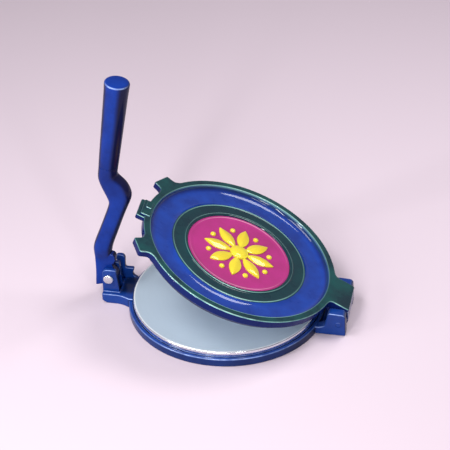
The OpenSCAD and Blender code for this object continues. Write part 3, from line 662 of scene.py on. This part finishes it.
def ear_plinth():
    """The low step, with rounded edges, on which both ears stand."""
    return up_z([(BRACKET_X + 0.4, -EAR_OUT - 1.2, 1.5), (PIVOT.x + 12.9, -EAR_OUT - 1.2, 1.5),
                 (PIVOT.x + 12.9, EAR_OUT + 1.2, 1.5), (BRACKET_X + 0.4, EAR_OUT + 1.2, 1.5)],
                BRACKET_H - 2, BRACKET_H + 1.0, 0.8)


def guide_wing():
    """The thin wing behind the ears: a foot on the rim, a neck and a wide head."""
    out = -(LID_R + 0.3)
    top = SIDE_LOW - 0.3
    return across_y([(out - 10.3, 6), (out + 7.4, 6), (out + 7.4, BASE_RIM_H - 1.3),
                     (out + 0.6, BASE_RIM_H + 4, 2), (out + 0.6, top - 4.4, 0.95),
                     (out + 1.9, top - 2.9, 0.95), (out + 1.9, top, 1.2), (out - 7.5, top, 2.4),
                     (out - 7.1, WING_TOP, 4.6), (out - 18.3, WING_TOP, 4.6), (out - 14.5, top - 2, 3)],
                    *WING_SIDES, 0.8)


def hinge_lug(low, high):
    """One of the two blocks beside the lid's tongue, which hold the hinge pin."""
    return across_y([(PLATE_R - 4, 0.4), (HINGE.x + 7.9, 0.4, 1.8), (HINGE.x + 7.1, HINGE.z + 12.9, 4),
                     (HINGE.x - 11.2, HINGE.z + 13.9, 3), (HINGE.x - 14.6, BASE_RIM_H + 1.2, 2.4),
                     (BASE_R - 2, BASE_RIM_H - 0.4), (PLATE_R - 4, BASE_RIM_H - 0.4)], low, high, 1.2)


def base_body():
    """The whole base casting, bored for its pins and screws."""
    rib = across_y([(14, 0.7), (BASE_R - 6, 0.7), (BASE_R - 6, SEAT_Z - 1), (14, SEAT_Z - 1)], -2, 2, 0.5)
    ribs = [swung(rib.copy(), i * 360 / RIBS) for i in range(RIBS)]
    rib.free()
    bridge = up_z([(PLATE_R - 4, -24), (HINGE.x + 1.4, -24), (HINGE.x + 1.4, 24), (PLATE_R - 4, 24)],
                  0, 4, 0.6)
    added = [bracket_block(), ear_plinth(), ear(-EAR_OUT, -EAR_IN), ear(EAR_IN, EAR_OUT), guide_wing(),
             hinge_lug(-LUG_OUT, -LUG_IN), hinge_lug(LUG_IN, LUG_OUT), bridge] + ribs
    wall = PIVOT.x + 11.6
    slot = across_y([(BRACKET_X - 9, 6), (wall, 6), (wall, BRACKET_H), (wall + 9, BRACKET_H), (wall + 9, 60),
                     (BRACKET_X - 9, 60)], -EAR_IN, EAR_IN)
    seat = moved(bar(PLATE_R + EDGE_GAP, 40, steps=TURN_STEPS), z=SEAT_Z)
    cut = [seat, slot,
           lying(bar(PIN_R + 0.05, 60), PIVOT.x, -30, PIVOT.z),
           lying(bar(HINGE_PIN_R + 0.12, 80), HINGE.x, -40, HINGE.z)]
    cut += [moved(bar(2.1, HINGE.z + 1, steps=32), HINGE.x, side * 27.5, -1) for side in (-1, 1)]
    holes = round_the_plate(lambda: bar(SCREW_HOLE_R, SEAT_Z + 2, steps=32), LOWER_SCREW_TURN)
    cut += [moved(hole, z=-1) for hole in holes]
    return worked(base_dish(), added, cut)


finished(base_body(), "base_body", BLUE_ENAMEL, "base", ["base_casting"])


def press_plate(low, high):
    """A turned plate with crisp faces and a bevelled edge."""
    return turned([(0, low), (PLATE_R, low, 1.1), (PLATE_R, high, 1.3), (0, high)], FINE_STEPS)


finished(press_plate(SEAT_Z, PLATE_TOP), "lower_plate", BASE_PLATE_METAL, "base",
         ["base_press_plate"])


def pan_screw(length, cross_turn):
    """A slotted screw, head down: the head's bearing face is at height 0."""
    head = turned([(0, -2.1), (4.5, -2.1, 1.4), (4.5, 0, 0.2), (0, 0)], 48)
    shank = moved(bar(SCREW_R, length + 0.5, 0.4, 32), z=-0.5)
    driver = swung(across_y([(-6, -3), (6, -3), (6, -1.2), (-6, -1.2)], -0.6, 0.6), cross_turn)
    return worked(head, [shank], [driver])


lower_screws = round_the_plate(lambda: pan_screw(7.4, 20), LOWER_SCREW_TURN)
finished(moved(together(*lower_screws), z=WEB_LOW - 0.8), "lower_plate_screws", ZINC, "base",
         ["base_plate_screws"])

# ---------------------------------------------------------------- the base's pins


def lever_rivet():
    """The lever pin: a domed head in front, a drilled tail behind."""
    head = turned([(0, 0), (5.5, 0, 0.3), (5.5, 1.5, 0.9), (3.4, 2.5, 1.2), (0, 2.6)], 64)
    swung(head, 90, "X")
    moved(head, PIVOT.x, -EAR_OUT, PIVOT.z)
    tail = lying(bar(PIN_R, 2 * EAR_OUT + 6.9, 0.7), PIVOT.x, -EAR_OUT - 0.5, PIVOT.z)
    hole = moved(bar(0.85, 30, steps=24), PIVOT.x, EAR_OUT + 2.8, PIVOT.z - 15)
    return worked(head, [tail], [hole])


finished(lever_rivet(), "lever_rivet", STEEL, "base", ["lever_pin"])
finished(lying(ring(PIN_R + 0.05, PIN_R + 3, 1.2, 0.25), PIVOT.x, EAR_OUT, PIVOT.z), "lever_washer", ZINC,
         "base", ["lever_pin_washer"])


def split_pin():
    """A split pin bent from one wire: an eye on top, a double shank and two legs turned apart."""
    reach = PIN_R + 1.4
    eye = reach + 2.6
    half = 0.42
    near = [(5.2, -reach - 2.1), (3.2, -reach - 1.4), (half + 0.5, -reach - 0.3), (half, -reach + 1.2),
            (half, 0), (half, reach - 0.4), (1.6, eye - 1.1), (2.3, eye + 0.5), (1.5, eye + 2.1)]
    route = [(-x, z) for x, z in near] + [(0, eye + 2.7)] + near[::-1]
    curve = bpy.data.curves.new("wire", "CURVE")
    curve.dimensions = "3D"
    curve.bevel_depth = 0.36
    curve.bevel_resolution = 3
    curve.use_fill_caps = True
    line = curve.splines.new("POLY")
    line.points.add(len(route) - 1)
    for point, (x, z) in zip(line.points, route):
        point.co = (PIVOT.x + x, EAR_OUT + 2.8, PIVOT.z + z, 1)
    wire = bpy.data.objects.new("wire", curve)
    bpy.context.scene.collection.objects.link(wire)
    bpy.context.view_layer.update()
    shaped = wire.evaluated_get(bpy.context.evaluated_depsgraph_get())
    mesh = bpy.data.meshes.new_from_object(shaped)
    bm = bmesh.new()
    bm.from_mesh(mesh)
    bpy.data.meshes.remove(mesh)
    bpy.data.objects.remove(wire)
    bpy.data.curves.remove(curve)
    return bm


finished(split_pin(), "split_pin", ZINC, "base", ["lever_split_pin"])
finished(lying(bar(HINGE_PIN_R, 2 * LUG_OUT, 0.5), HINGE.x, -LUG_OUT, HINGE.z), "hinge_rod", BLUE_ENAMEL,
         "base", ["hinge_pin"])

# ---------------------------------------------------------------- the lid, drawn shut

ARC_STEP = math.radians(2)
TONGUE_HALF = 21.5
TONGUE_END = HINGE.x + 4.9
TONGUE_DROP = 2.9
FOLD_X = LID_R - 2
STRIKE_HALF = 14.5
STRIKE_REACH = 8.1
STRIKE_Y = 2.5
STRIKE_TOP = RIM_TOP - 1.4
SIDE_TURN = 30.3
SIDE_LUG_T = 6.8
SIDE_LUG_HALF = 10.75
SIDE_LUG_REACH = 12.9


def side_lug():
    """Outline of a side lug along +X, wide at its root and rounded at its tip, from side to side."""
    half = SIDE_LUG_HALF
    wide = half + 4.5
    start = math.sqrt(LID_R ** 2 - (wide + 3) ** 2)
    side = [(LID_R + 0.2, wide - 1.5, 2.6), (LID_R + 3.6, half + 0.5, 3.0),
            (LID_R + SIDE_LUG_REACH, half, 2.2)]
    return ([(start, -(wide + 3))] + [(x, -y, r) for x, y, r in side]
            + [(x, y, r) for x, y, r in reversed(side)] + [(start, wide + 3)])


def tongue_outline():
    """Outline of the hinge tongue, which widens into the rim."""
    wide = TONGUE_HALF + 7
    start = math.sqrt(LID_R ** 2 - wide ** 2)
    return [(start, -wide), (LID_R - 1.2, -TONGUE_HALF, 4), (TONGUE_END, -TONGUE_HALF, 2.4),
            (TONGUE_END, TONGUE_HALF, 2.4), (LID_R - 1.2, TONGUE_HALF, 4), (start, wide)]


def lugged_rim():
    """The rim with its side lugs and tongue in one outline: arcs of the rim run from lug to lug."""
    lugs = [(0, tongue_outline()), (180 - SIDE_TURN, side_lug()), (180 + SIDE_TURN, side_lug())]
    bm = bmesh.new()
    corners = {}
    placed = []
    for degrees, outline in lugs:
        turn = Matrix.Rotation(math.radians(degrees), 3, "Z")
        placed.append([(turn @ Vector((p[0], p[1], RIM_TOP)), p[2] if len(p) > 2 else 0) for p in outline])
    for lug, following in zip(placed, placed[1:] + placed[:1]):
        for point, radius in lug:
            vert = bm.verts.new(point)
            if radius:
                corners.setdefault(radius, []).append(vert)
        begin, end = lug[-1][0], following[0][0]
        sweep = (math.atan2(end.y, end.x) - math.atan2(begin.y, begin.x)) % math.tau
        steps = max(2, round(sweep / ARC_STEP))
        bmesh.ops.spin(bm, geom=[vert], cent=(0, 0, 0), axis=(0, 0, 1), angle=sweep * (steps - 1) / steps,
                       steps=steps - 1)
    bm.faces.new(bm.verts[:])
    for radius, verts in corners.items():
        round_off(bm, verts, radius, "VERTICES", 6)
    raised(bm, (0, 0, SIDE_LOW - RIM_TOP))
    everything = bm.verts[:] + bm.edges[:] + bm.faces[:]
    bmesh.ops.bisect_plane(bm, geom=everything, plane_co=(FOLD_X, 0, 0), plane_no=(1, 0, 0))
    slope = TONGUE_DROP / (TONGUE_END - FOLD_X)
    for vert in bm.verts:
        if vert.co.x > FOLD_X and vert.co.z > RIM_TOP - 1:
            vert.co.z -= slope * (vert.co.x - FOLD_X)
    bmesh.ops.recalc_face_normals(bm, faces=bm.faces)
    rims = []
    for edge in bm.edges:
        slopes = [abs(face.normal.z) for face in edge.link_faces]
        if len(slopes) == 2 and min(slopes) < 0.3 and max(slopes) > 0.9:
            rims.append(edge)
    round_off(bm, rims, 1.3)
    return bm


def pan_cutter():
    """What is taken out of the lid's top: the hollow curve, the channel, the ring, its bead, the seat."""
    cove = []
    depth = RIM_TOP - 0.6 - CHANNEL_Z
    for i in range(13):
        angle = math.radians(90 * i / 12)
        cove.append((RIM_IN - 8.5 * (1 - math.cos(angle)), RIM_TOP - 0.6 - depth * math.sin(angle)))
    return turned([(0, RIM_TOP + 9), (RIM_IN + 0.9, RIM_TOP + 9), (RIM_IN + 0.9, RIM_TOP),
                   (RIM_IN + 0.25, RIM_TOP - 0.18)] + cove
                  + [(RING_R + 4.6, CHANNEL_Z, 2.2), (RING_R + 0.3, MEDAL_TOP + 0.3, 0.6),
                     (RING_R - 1.3, MEDAL_TOP + 0.3, 0.6), (RING_R - 2.2, MEDAL_TOP, 0.6),
                     (BEAD_R + 0.9, MEDAL_TOP, 0.6), (BEAD_R - 0.3, MEDAL_TOP + 1.1, 0.7),
                     (MEDAL_R + 1.0, MEDAL_TOP + 1.1, 0.8), (MEDAL_R + 0.1, MEDAL_TOP - 0.2, 0.2),
                     (MEDAL_R + 0.1, MEDAL_FLOOR - 1.2), (0, MEDAL_FLOOR - 1.2)], FINE_STEPS)


def strike_lug():
    """A lip a step lower than the rim, a pad that runs on across the rim, and a cam on the pad."""
    tip, root, low = -(LID_R + STRIKE_REACH), -(RIM_IN + 1.3), RIM_TOP - 6.9
    lip = up_z([(tip, -STRIKE_HALF, 1.8), (tip, STRIKE_HALF, 1.8), (root, STRIKE_HALF + 0.7),
                (root, -STRIKE_HALF - 0.7)], low, STRIKE_TOP, 0.9)
    out = -(LID_R + 4.5)
    pad = up_z([(out, -12.5, 1.3), (root, -12.5, 1.3), (root, 12.5, 1.3), (out, 12.5, 1.3)],
               low + 1, RIM_TOP + 1.2, 0.9)
    out = -(LID_R + 1.5)
    cam = up_z([(out, -1, 1.3), (out + 6.4, -1, 1.3), (out + 6.4, 11, 1.3), (out, 11, 1.3)],
               low + 2, RIM_TOP + 2.3, 0.9)
    return moved(worked(lip, [pad, cam]), y=STRIKE_Y)


def hinge_neck():
    """Below the tongue: from the lid's side down to the barrel round the hinge pin."""
    neck = across_y([(LID_R - 6, SIDE_LOW + 2), (LID_R - 6, SIDE_LOW + 0.5), (HINGE.x - 8.7, HINGE.z - 1),
                     (HINGE.x + 8.7, HINGE.z - 1), (HINGE.x + 8.1, HINGE.z + 4),
                     (TONGUE_END - 0.4, SIDE_LOW + 3)], -TONGUE_HALF, TONGUE_HALF, 0.8)
    barrel = lying(bar(9, 2 * TONGUE_HALF, 0.8, 96), HINGE.x, -TONGUE_HALF, HINGE.z)
    return worked(neck, [barrel])


def below_side_lugs():
    """What is cut from under the side lugs, which are thinner than the rim, up to the rim's side."""
    arc = [math.radians(180 + 2.5 * i) for i in range(-22, 23)]
    inner = [((LID_R + 0.05) * math.cos(a), (LID_R + 0.05) * math.sin(a)) for a in arc]
    outer = [((LID_R + 20) * math.cos(a), (LID_R + 20) * math.sin(a)) for a in reversed(arc)]
    return up_z(inner + outer, SIDE_LOW - 1, RIM_TOP - SIDE_LUG_T)


def lid_body():
    """The whole lid casting: the rim, the disc behind its plate, the strike lug and the hinge neck."""
    under = turned([(0, LID_SEAT), (PLATE_R - 2, LID_SEAT, 0.6), (PLATE_R - 1, SIDE_LOW + 4),
                    (0, SIDE_LOW + 4)])
    cut = [pan_cutter(), lying(bar(HINGE_PIN_R + 0.12, 60), HINGE.x, -30, HINGE.z)]
    holes = round_the_plate(lambda: bar(SCREW_HOLE_R, 9, steps=32), 0)
    sinks = round_the_plate(lambda: bar(SCREW_SINK_R, 9, steps=48), 0)
    cut += [moved(hole, z=LID_SEAT - 1) for hole in holes] + [moved(sink, z=LID_SEAT + 1.2) for sink in sinks]
    rim = worked(lugged_rim(), cut=[below_side_lugs()])
    return worked(rim, [under, strike_lug(), hinge_neck()], cut)


finished(lid_body(), "lid_body", LID_ENAMEL, "lid", ["lid_casting"], opened=True)
finished(press_plate(LID_FACE, LID_SEAT), "upper_plate", LID_PLATE_METAL, "lid",
         ["lid_press_plate"], opened=True)


def medallion():
    """The round medallion, dished inside a narrow flat edge."""
    low = MEDAL_TOP - 1.8
    return turned([(0, low), (MEDAL_R, low), (MEDAL_R, MEDAL_TOP, 0.5), (MEDAL_R - 2.3, MEDAL_TOP, 0.8),
                   (MEDAL_R - 5.7, MEDAL_FLOOR, 0.8), (0, MEDAL_FLOOR)], FINE_STEPS)


finished(medallion(), "medallion", PINK_ENAMEL, "lid", ["lid_medallion"], opened=True)

PETALS = 8
PETAL_LENGTH = 31.0
PETAL_WIDTH = 13.0
HUB_R = 10.0
ROSETTE_H = 2.6


def petal():
    """A leaf with a low wall all round, crowned towards a soft ridge along its middle."""
    bm = bmesh.new()
    bmesh.ops.create_grid(bm, x_segments=24, y_segments=10, size=1)
    for vert in bm.verts:
        along, side = (vert.co.x + 1) / 2, vert.co.y
        swell = math.sin(math.pi * along)
        vert.co = (PETAL_LENGTH * along, PETAL_WIDTH / 2 * side * swell ** 0.85,
                   1.1 + 1.6 * swell ** 0.5 * (1 - abs(side) ** 1.4))
    skirt = bmesh.ops.extrude_edge_only(bm, edges=[e for e in bm.edges if e.is_boundary])["geom"]
    for vert in skirt:
        if isinstance(vert, bmesh.types.BMVert):
            vert.co.z = 0
    bmesh.ops.remove_doubles(bm, verts=bm.verts, dist=0.01)
    bmesh.ops.contextual_create(bm, geom=[e for e in bm.edges if e.is_boundary])
    bmesh.ops.recalc_face_normals(bm, faces=bm.faces)
    return bm


def rosette():
    """Eight leaves and eight beads round a domed hub."""
    hub = turned([(0, 0), (HUB_R, 0), (HUB_R, ROSETTE_H * 0.8, 0.7), (HUB_R - 1.6, ROSETTE_H * 0.8, 0.5),
                  (HUB_R - 2.8, ROSETTE_H * 1.1, 0.6), (4.2, ROSETTE_H * 1.38, 2.0),
                  (0, ROSETTE_H * 1.4)], 96)
    parts = [hub]
    for i in range(PETALS):
        parts.append(swung(moved(petal(), x=HUB_R * 0.8), i * 360 / PETALS))
        bead = turned([(0, 0), (3, 0), (3, 1.2, 0.8), (1.6, 2.2, 0.9), (0, 2.3)], 32)
        parts.append(swung(moved(bead, x=HUB_R * 0.8 + PETAL_LENGTH - 4.5), (i + 0.5) * 360 / PETALS))
    return moved(together(*parts), z=MEDAL_FLOOR)


finished(rosette(), "rosette", YELLOW_ENAMEL, "lid", ["medallion_rosette"], opened=True)

# ---------------------------------------------------------------- the lever

# The arm's stations from its foot to the grip, as [x, z] from the pivot: its left line, its right line,
# the share of its full thickness that it has there, and how round it is there, where 1 is a circle.
ARM_LEFT = [(-14.5, 6.5), (-15.4, 18.5), (-16.0, 29), (-15.4, 39.5), (-10.2, 54.5), (-3.2, 74.5), (1.7, 90),
            (1.7, 98), (-3.2, 110.5), (-7.4, 123), (-6.9, 133.2)]
ARM_RIGHT = [(3.2, 12.5), (2.3, 22.5), (3.2, 31), (5.1, 40.5), (10.8, 57), (18, 78.5), (24.7, 96.5),
             (26.2, 106), (21.8, 118.5), (13.9, 126.5), (13.4, 132.6)]
ARM_SHARE = [0.46, 0.46, 0.8, 0.98, 1, 1, 1, 1, 1, 1.05, 1.12]
ARM_ROUNDNESS = [0.66] * 9 + [0.85] * 2 + [1.0]
ARM_HALF = 8.5
ARM_TOP = (3.7, 139.1)
GRIP_LEAN = 7.5
GRIP_LOW_R = 10.3
GRIP_TOP_R = 13.3
GRIP_LENGTH = 102.0
ARM_SIDES = 16
CAGE_SWELL = 1 / 0.975
EYE_R = 9.6
TANG_HALF = 4.4
BUSH_R = 6.0
ROD_R = 6.0
ROD_LENGTH = 82.0


def against_smoothing(points):
    """Moves the stations out where the arm bends, because the subdivision draws them in."""
    eased = [points[0]]
    for before, here, after in zip(points, points[1:], points[2:]):
        eased.append(tuple(h + 0.5 * (h - (b + a) / 2) for b, h, a in zip(before, here, after)))
    return eased + [points[-1]]


def squared(value, power):
    """Draws a circle's coordinate out towards a square: the lower the power, the squarer."""
    return math.copysign(abs(value) ** power, value)


def arm_shell():
    """The bent arm: a cage of rounded loops between its left and right lines, subdivided smooth."""
    lean = math.radians(GRIP_LEAN)
    across = (GRIP_LOW_R * math.cos(lean), -GRIP_LOW_R * math.sin(lean))
    left = against_smoothing(ARM_LEFT + [(ARM_TOP[0] - across[0], ARM_TOP[1] - across[1])])
    right = against_smoothing(ARM_RIGHT + [(ARM_TOP[0] + across[0], ARM_TOP[1] + across[1])])
    halves = [share * ARM_HALF for share in ARM_SHARE] + [GRIP_LOW_R]
    bm = bmesh.new()
    loops = []
    for l, r, half, power in zip(left, right, halves, ARM_ROUNDNESS):
        verts = bmesh.ops.create_circle(bm, segments=ARM_SIDES, radius=1)["verts"]
        loops.append(once_each(e for v in verts for e in v.link_edges))
        for v in verts:
            u = squared(v.co.x, power) * CAGE_SWELL
            v.co = ((l[0] + r[0]) / 2 + u * (r[0] - l[0]) / 2, squared(v.co.y, power) * half * CAGE_SWELL,
                    (l[1] + r[1]) / 2 + u * (r[1] - l[1]) / 2)
    for lower, upper in zip(loops, loops[1:]):
        bmesh.ops.bridge_loops(bm, edges=lower + upper)
    for loop in (loops[0], loops[-1]):
        bmesh.ops.edgeloop_fill(bm, edges=loop)
    ends = [f for f in bm.faces if len(f.verts) == ARM_SIDES]
    bmesh.ops.inset_region(bm, faces=ends, thickness=0.6)
    bmesh.ops.recalc_face_normals(bm, faces=bm.faces)
    return worked(bm, smooth=2)


def lever_tang():
    """The flat tang between the ears, with its eye and a blunt nose."""
    tang = across_y([(-15.4, -13.1, 1.5), (-1.2, -EYE_R + 0.2), (EYE_R - 1, 3), (3, 15, 4), (2.6, 26),
                     (-15, 24), (-14.6, 6, 3)], -TANG_HALF, TANG_HALF, 0.7)
    eye = lying(bar(EYE_R, 2 * TANG_HALF, 0.6, 96), 0, -TANG_HALF, 0)
    nose = across_y([(-4, 12.4), (2, 13.4), (7.4, 18.2, 3), (6.8, 27.4, 3), (-4, 30)],
                    -TANG_HALF, TANG_HALF, 1.4)
    return worked(tang, [eye, nose])


def lever_body():
    """The arm with its tang, and the rod that runs up inside the grip."""
    rod = moved(bar(ROD_R, ROD_LENGTH, 0.6, 48), z=-2)
    swung(rod, GRIP_LEAN, "Y")
    moved(rod, ARM_TOP[0], 0, ARM_TOP[1])
    hole = lying(bar(BUSH_R + 0.06, 40, steps=64), 0, -20, 0)
    return moved(worked(arm_shell(), [lever_tang(), rod], [hole]), PIVOT.x, 0, PIVOT.z)


finished(lever_body(), "lever_body", LEVER_ENAMEL, "lever", ["lever_arm"])


def hand_grip():
    """A sleeve on the rod, which swells to a flat, softly rounded top."""
    bore, depth = ROD_R + 0.05, ROD_LENGTH + 3
    grip = turned([(bore, 0), (GRIP_LOW_R, 0, 0.5), (GRIP_LOW_R + 0.5, 16), (GRIP_LOW_R + 1.4, 50),
                   (GRIP_TOP_R - 0.7, 86), (GRIP_TOP_R, GRIP_LENGTH, 1.7),
                   (GRIP_TOP_R - 3.4, GRIP_LENGTH + 0.55, 2), (0, GRIP_LENGTH + 0.6),
                   (0, depth), (bore, depth)], 128)
    return moved(swung(grip, GRIP_LEAN, "Y"), PIVOT.x + ARM_TOP[0], 0, PIVOT.z + ARM_TOP[1])


finished(hand_grip(), "hand_grip", GRIP_PLASTIC, "lever", ["lever_grip"])

# ---------------------------------------------------------------- CAD pieces that keep their own shape

KEPT = {"base_plate_washers": STEEL, "hinge_set_screws": ZINC, "hinge_shims": STEEL, "lever_shims": STEEL,
        "lid_plate_screws": ZINC, "lid_plate_washers": STEEL, "medallion_screw": ZINC, "lever_bush": STEEL}
for node, material in KEPT.items():
    mesh = frame["nodes"][node].data
    mesh.materials.clear()
    mesh.materials.append(material)

# ---------------------------------------------------------------- camera, from the photograph

CAM_AZIMUTH = math.radians(10.927)
CAM_HEIGHT = math.radians(34.986)
CAM_ROLL = math.radians(-0.959)
CAM_DISTANCE = 2500.0
CAM_FOCUS_PX = 2349.5
CAM_OFFSET = (2.631, -85.885)
PHOTO_PX = 450
SENSOR_MM = 36.0


def make_camera():
    """A camera at the photograph's distance and angle, with the object where it is in the frame."""
    data = bpy.data.cameras.new("camera")
    data.sensor_width = SENSOR_MM
    data.lens = CAM_FOCUS_PX / PHOTO_PX * SENSOR_MM
    data.clip_end = 20
    camera = bpy.data.objects.new("camera", data)
    bpy.context.scene.collection.objects.link(camera)
    back = Vector((math.sin(CAM_AZIMUTH) * math.cos(CAM_HEIGHT),
                   -math.cos(CAM_AZIMUTH) * math.cos(CAM_HEIGHT),
                   math.sin(CAM_HEIGHT)))
    level = Vector((math.cos(CAM_AZIMUTH), math.sin(CAM_AZIMUTH), 0))
    upright = back.cross(level)
    right = math.cos(CAM_ROLL) * level + math.sin(CAM_ROLL) * upright
    up = -math.sin(CAM_ROLL) * level + math.cos(CAM_ROLL) * upright
    place = (back * CAM_DISTANCE - right * CAM_OFFSET[0] - up * CAM_OFFSET[1]) * MM
    turn = Matrix((right, up, back)).transposed().to_4x4()
    camera.matrix_world = Matrix.Translation(place) @ turn
    bpy.context.scene.camera = camera


# ---------------------------------------------------------------- floor and light

FLOOR_TONE = (0.69, 0.58, 0.66)
SKY_TONE = (0.38, 0.34, 0.38)
WORLD_LIGHT = 0.18
FLOOR_HALF_M = 6


def pale_floor():
    """A plain pale floor under the object."""
    bm = bmesh.new()
    bmesh.ops.create_grid(bm, x_segments=1, y_segments=1, size=FLOOR_HALF_M)
    mesh = bpy.data.meshes.new("floor")
    bm.to_mesh(mesh)
    bm.free()
    finish = Finish("floor_paper", roughness=0.85, specular_ior_level=0.2)
    finish.shader.inputs["Base Color"].default_value = FLOOR_TONE + (1.0,)
    mesh.materials.append(finish.material)
    floor = bpy.data.objects.new("floor", mesh)
    bpy.context.scene.collection.objects.link(floor)


def pale_world():
    """A weak, even light from all round. The camera and reflections see it at its full tone."""
    world = bpy.data.worlds.new("studio")
    bpy.context.scene.world = world
    world.use_nodes = True
    world.node_tree.nodes.clear()
    nodes = Nodes(world.node_tree)
    camera, glossy, clear = [nodes.node("ShaderNodeLightPath", out=ray)
                             for ray in ("Is Camera Ray", "Is Glossy Ray", "Is Transmission Ray")]
    seen = camera.math("MAXIMUM", glossy).math("MAXIMUM", clear)
    strength = nodes.node("ShaderNodeMapRange", {}, {"Value": seen, "To Min": WORLD_LIGHT, "To Max": 1.0})
    background = nodes.node("ShaderNodeBackground", {}, {"Color": SKY_TONE + (1.0,), "Strength": strength})
    nodes.node("ShaderNodeOutputWorld", {}, {"Surface": background})


def lamp(name, place, size, power, aim=(0, 0, 0.03)):
    """A soft rectangular lamp that faces the object: its place and size in metres, its power in watts."""
    data = bpy.data.lights.new(name, "AREA")
    data.shape = "RECTANGLE"
    data.size, data.size_y = size
    data.energy = power
    light = bpy.data.objects.new(name, data)
    bpy.context.scene.collection.objects.link(light)
    way = Vector(aim) - Vector(place)
    light.matrix_world = Matrix.Translation(place) @ way.to_track_quat("-Z", "Y").to_matrix().to_4x4()


bpy.context.scene.view_settings.view_transform = "Standard"

pale_floor()
pale_world()
lamp("left_strip", (-1.20, -0.95, 0.72), (0.22, 0.70), 11)
lamp("front_strip", (-0.22, -1.00, 1.00), (0.10, 0.70), 6)
lamp("low_front", (0.05, -1.27, 0.52), (0.30, 0.30), 5)
lamp("right_strip", (0.42, -0.86, 1.02), (0.08, 0.60), 1.8)
lamp("window", (-0.52, -0.35, 1.28), (0.75, 0.45), 8.5)
lamp("overhead", (0.50, 0.34, 1.06), (0.60, 0.40), 8)

make_camera()
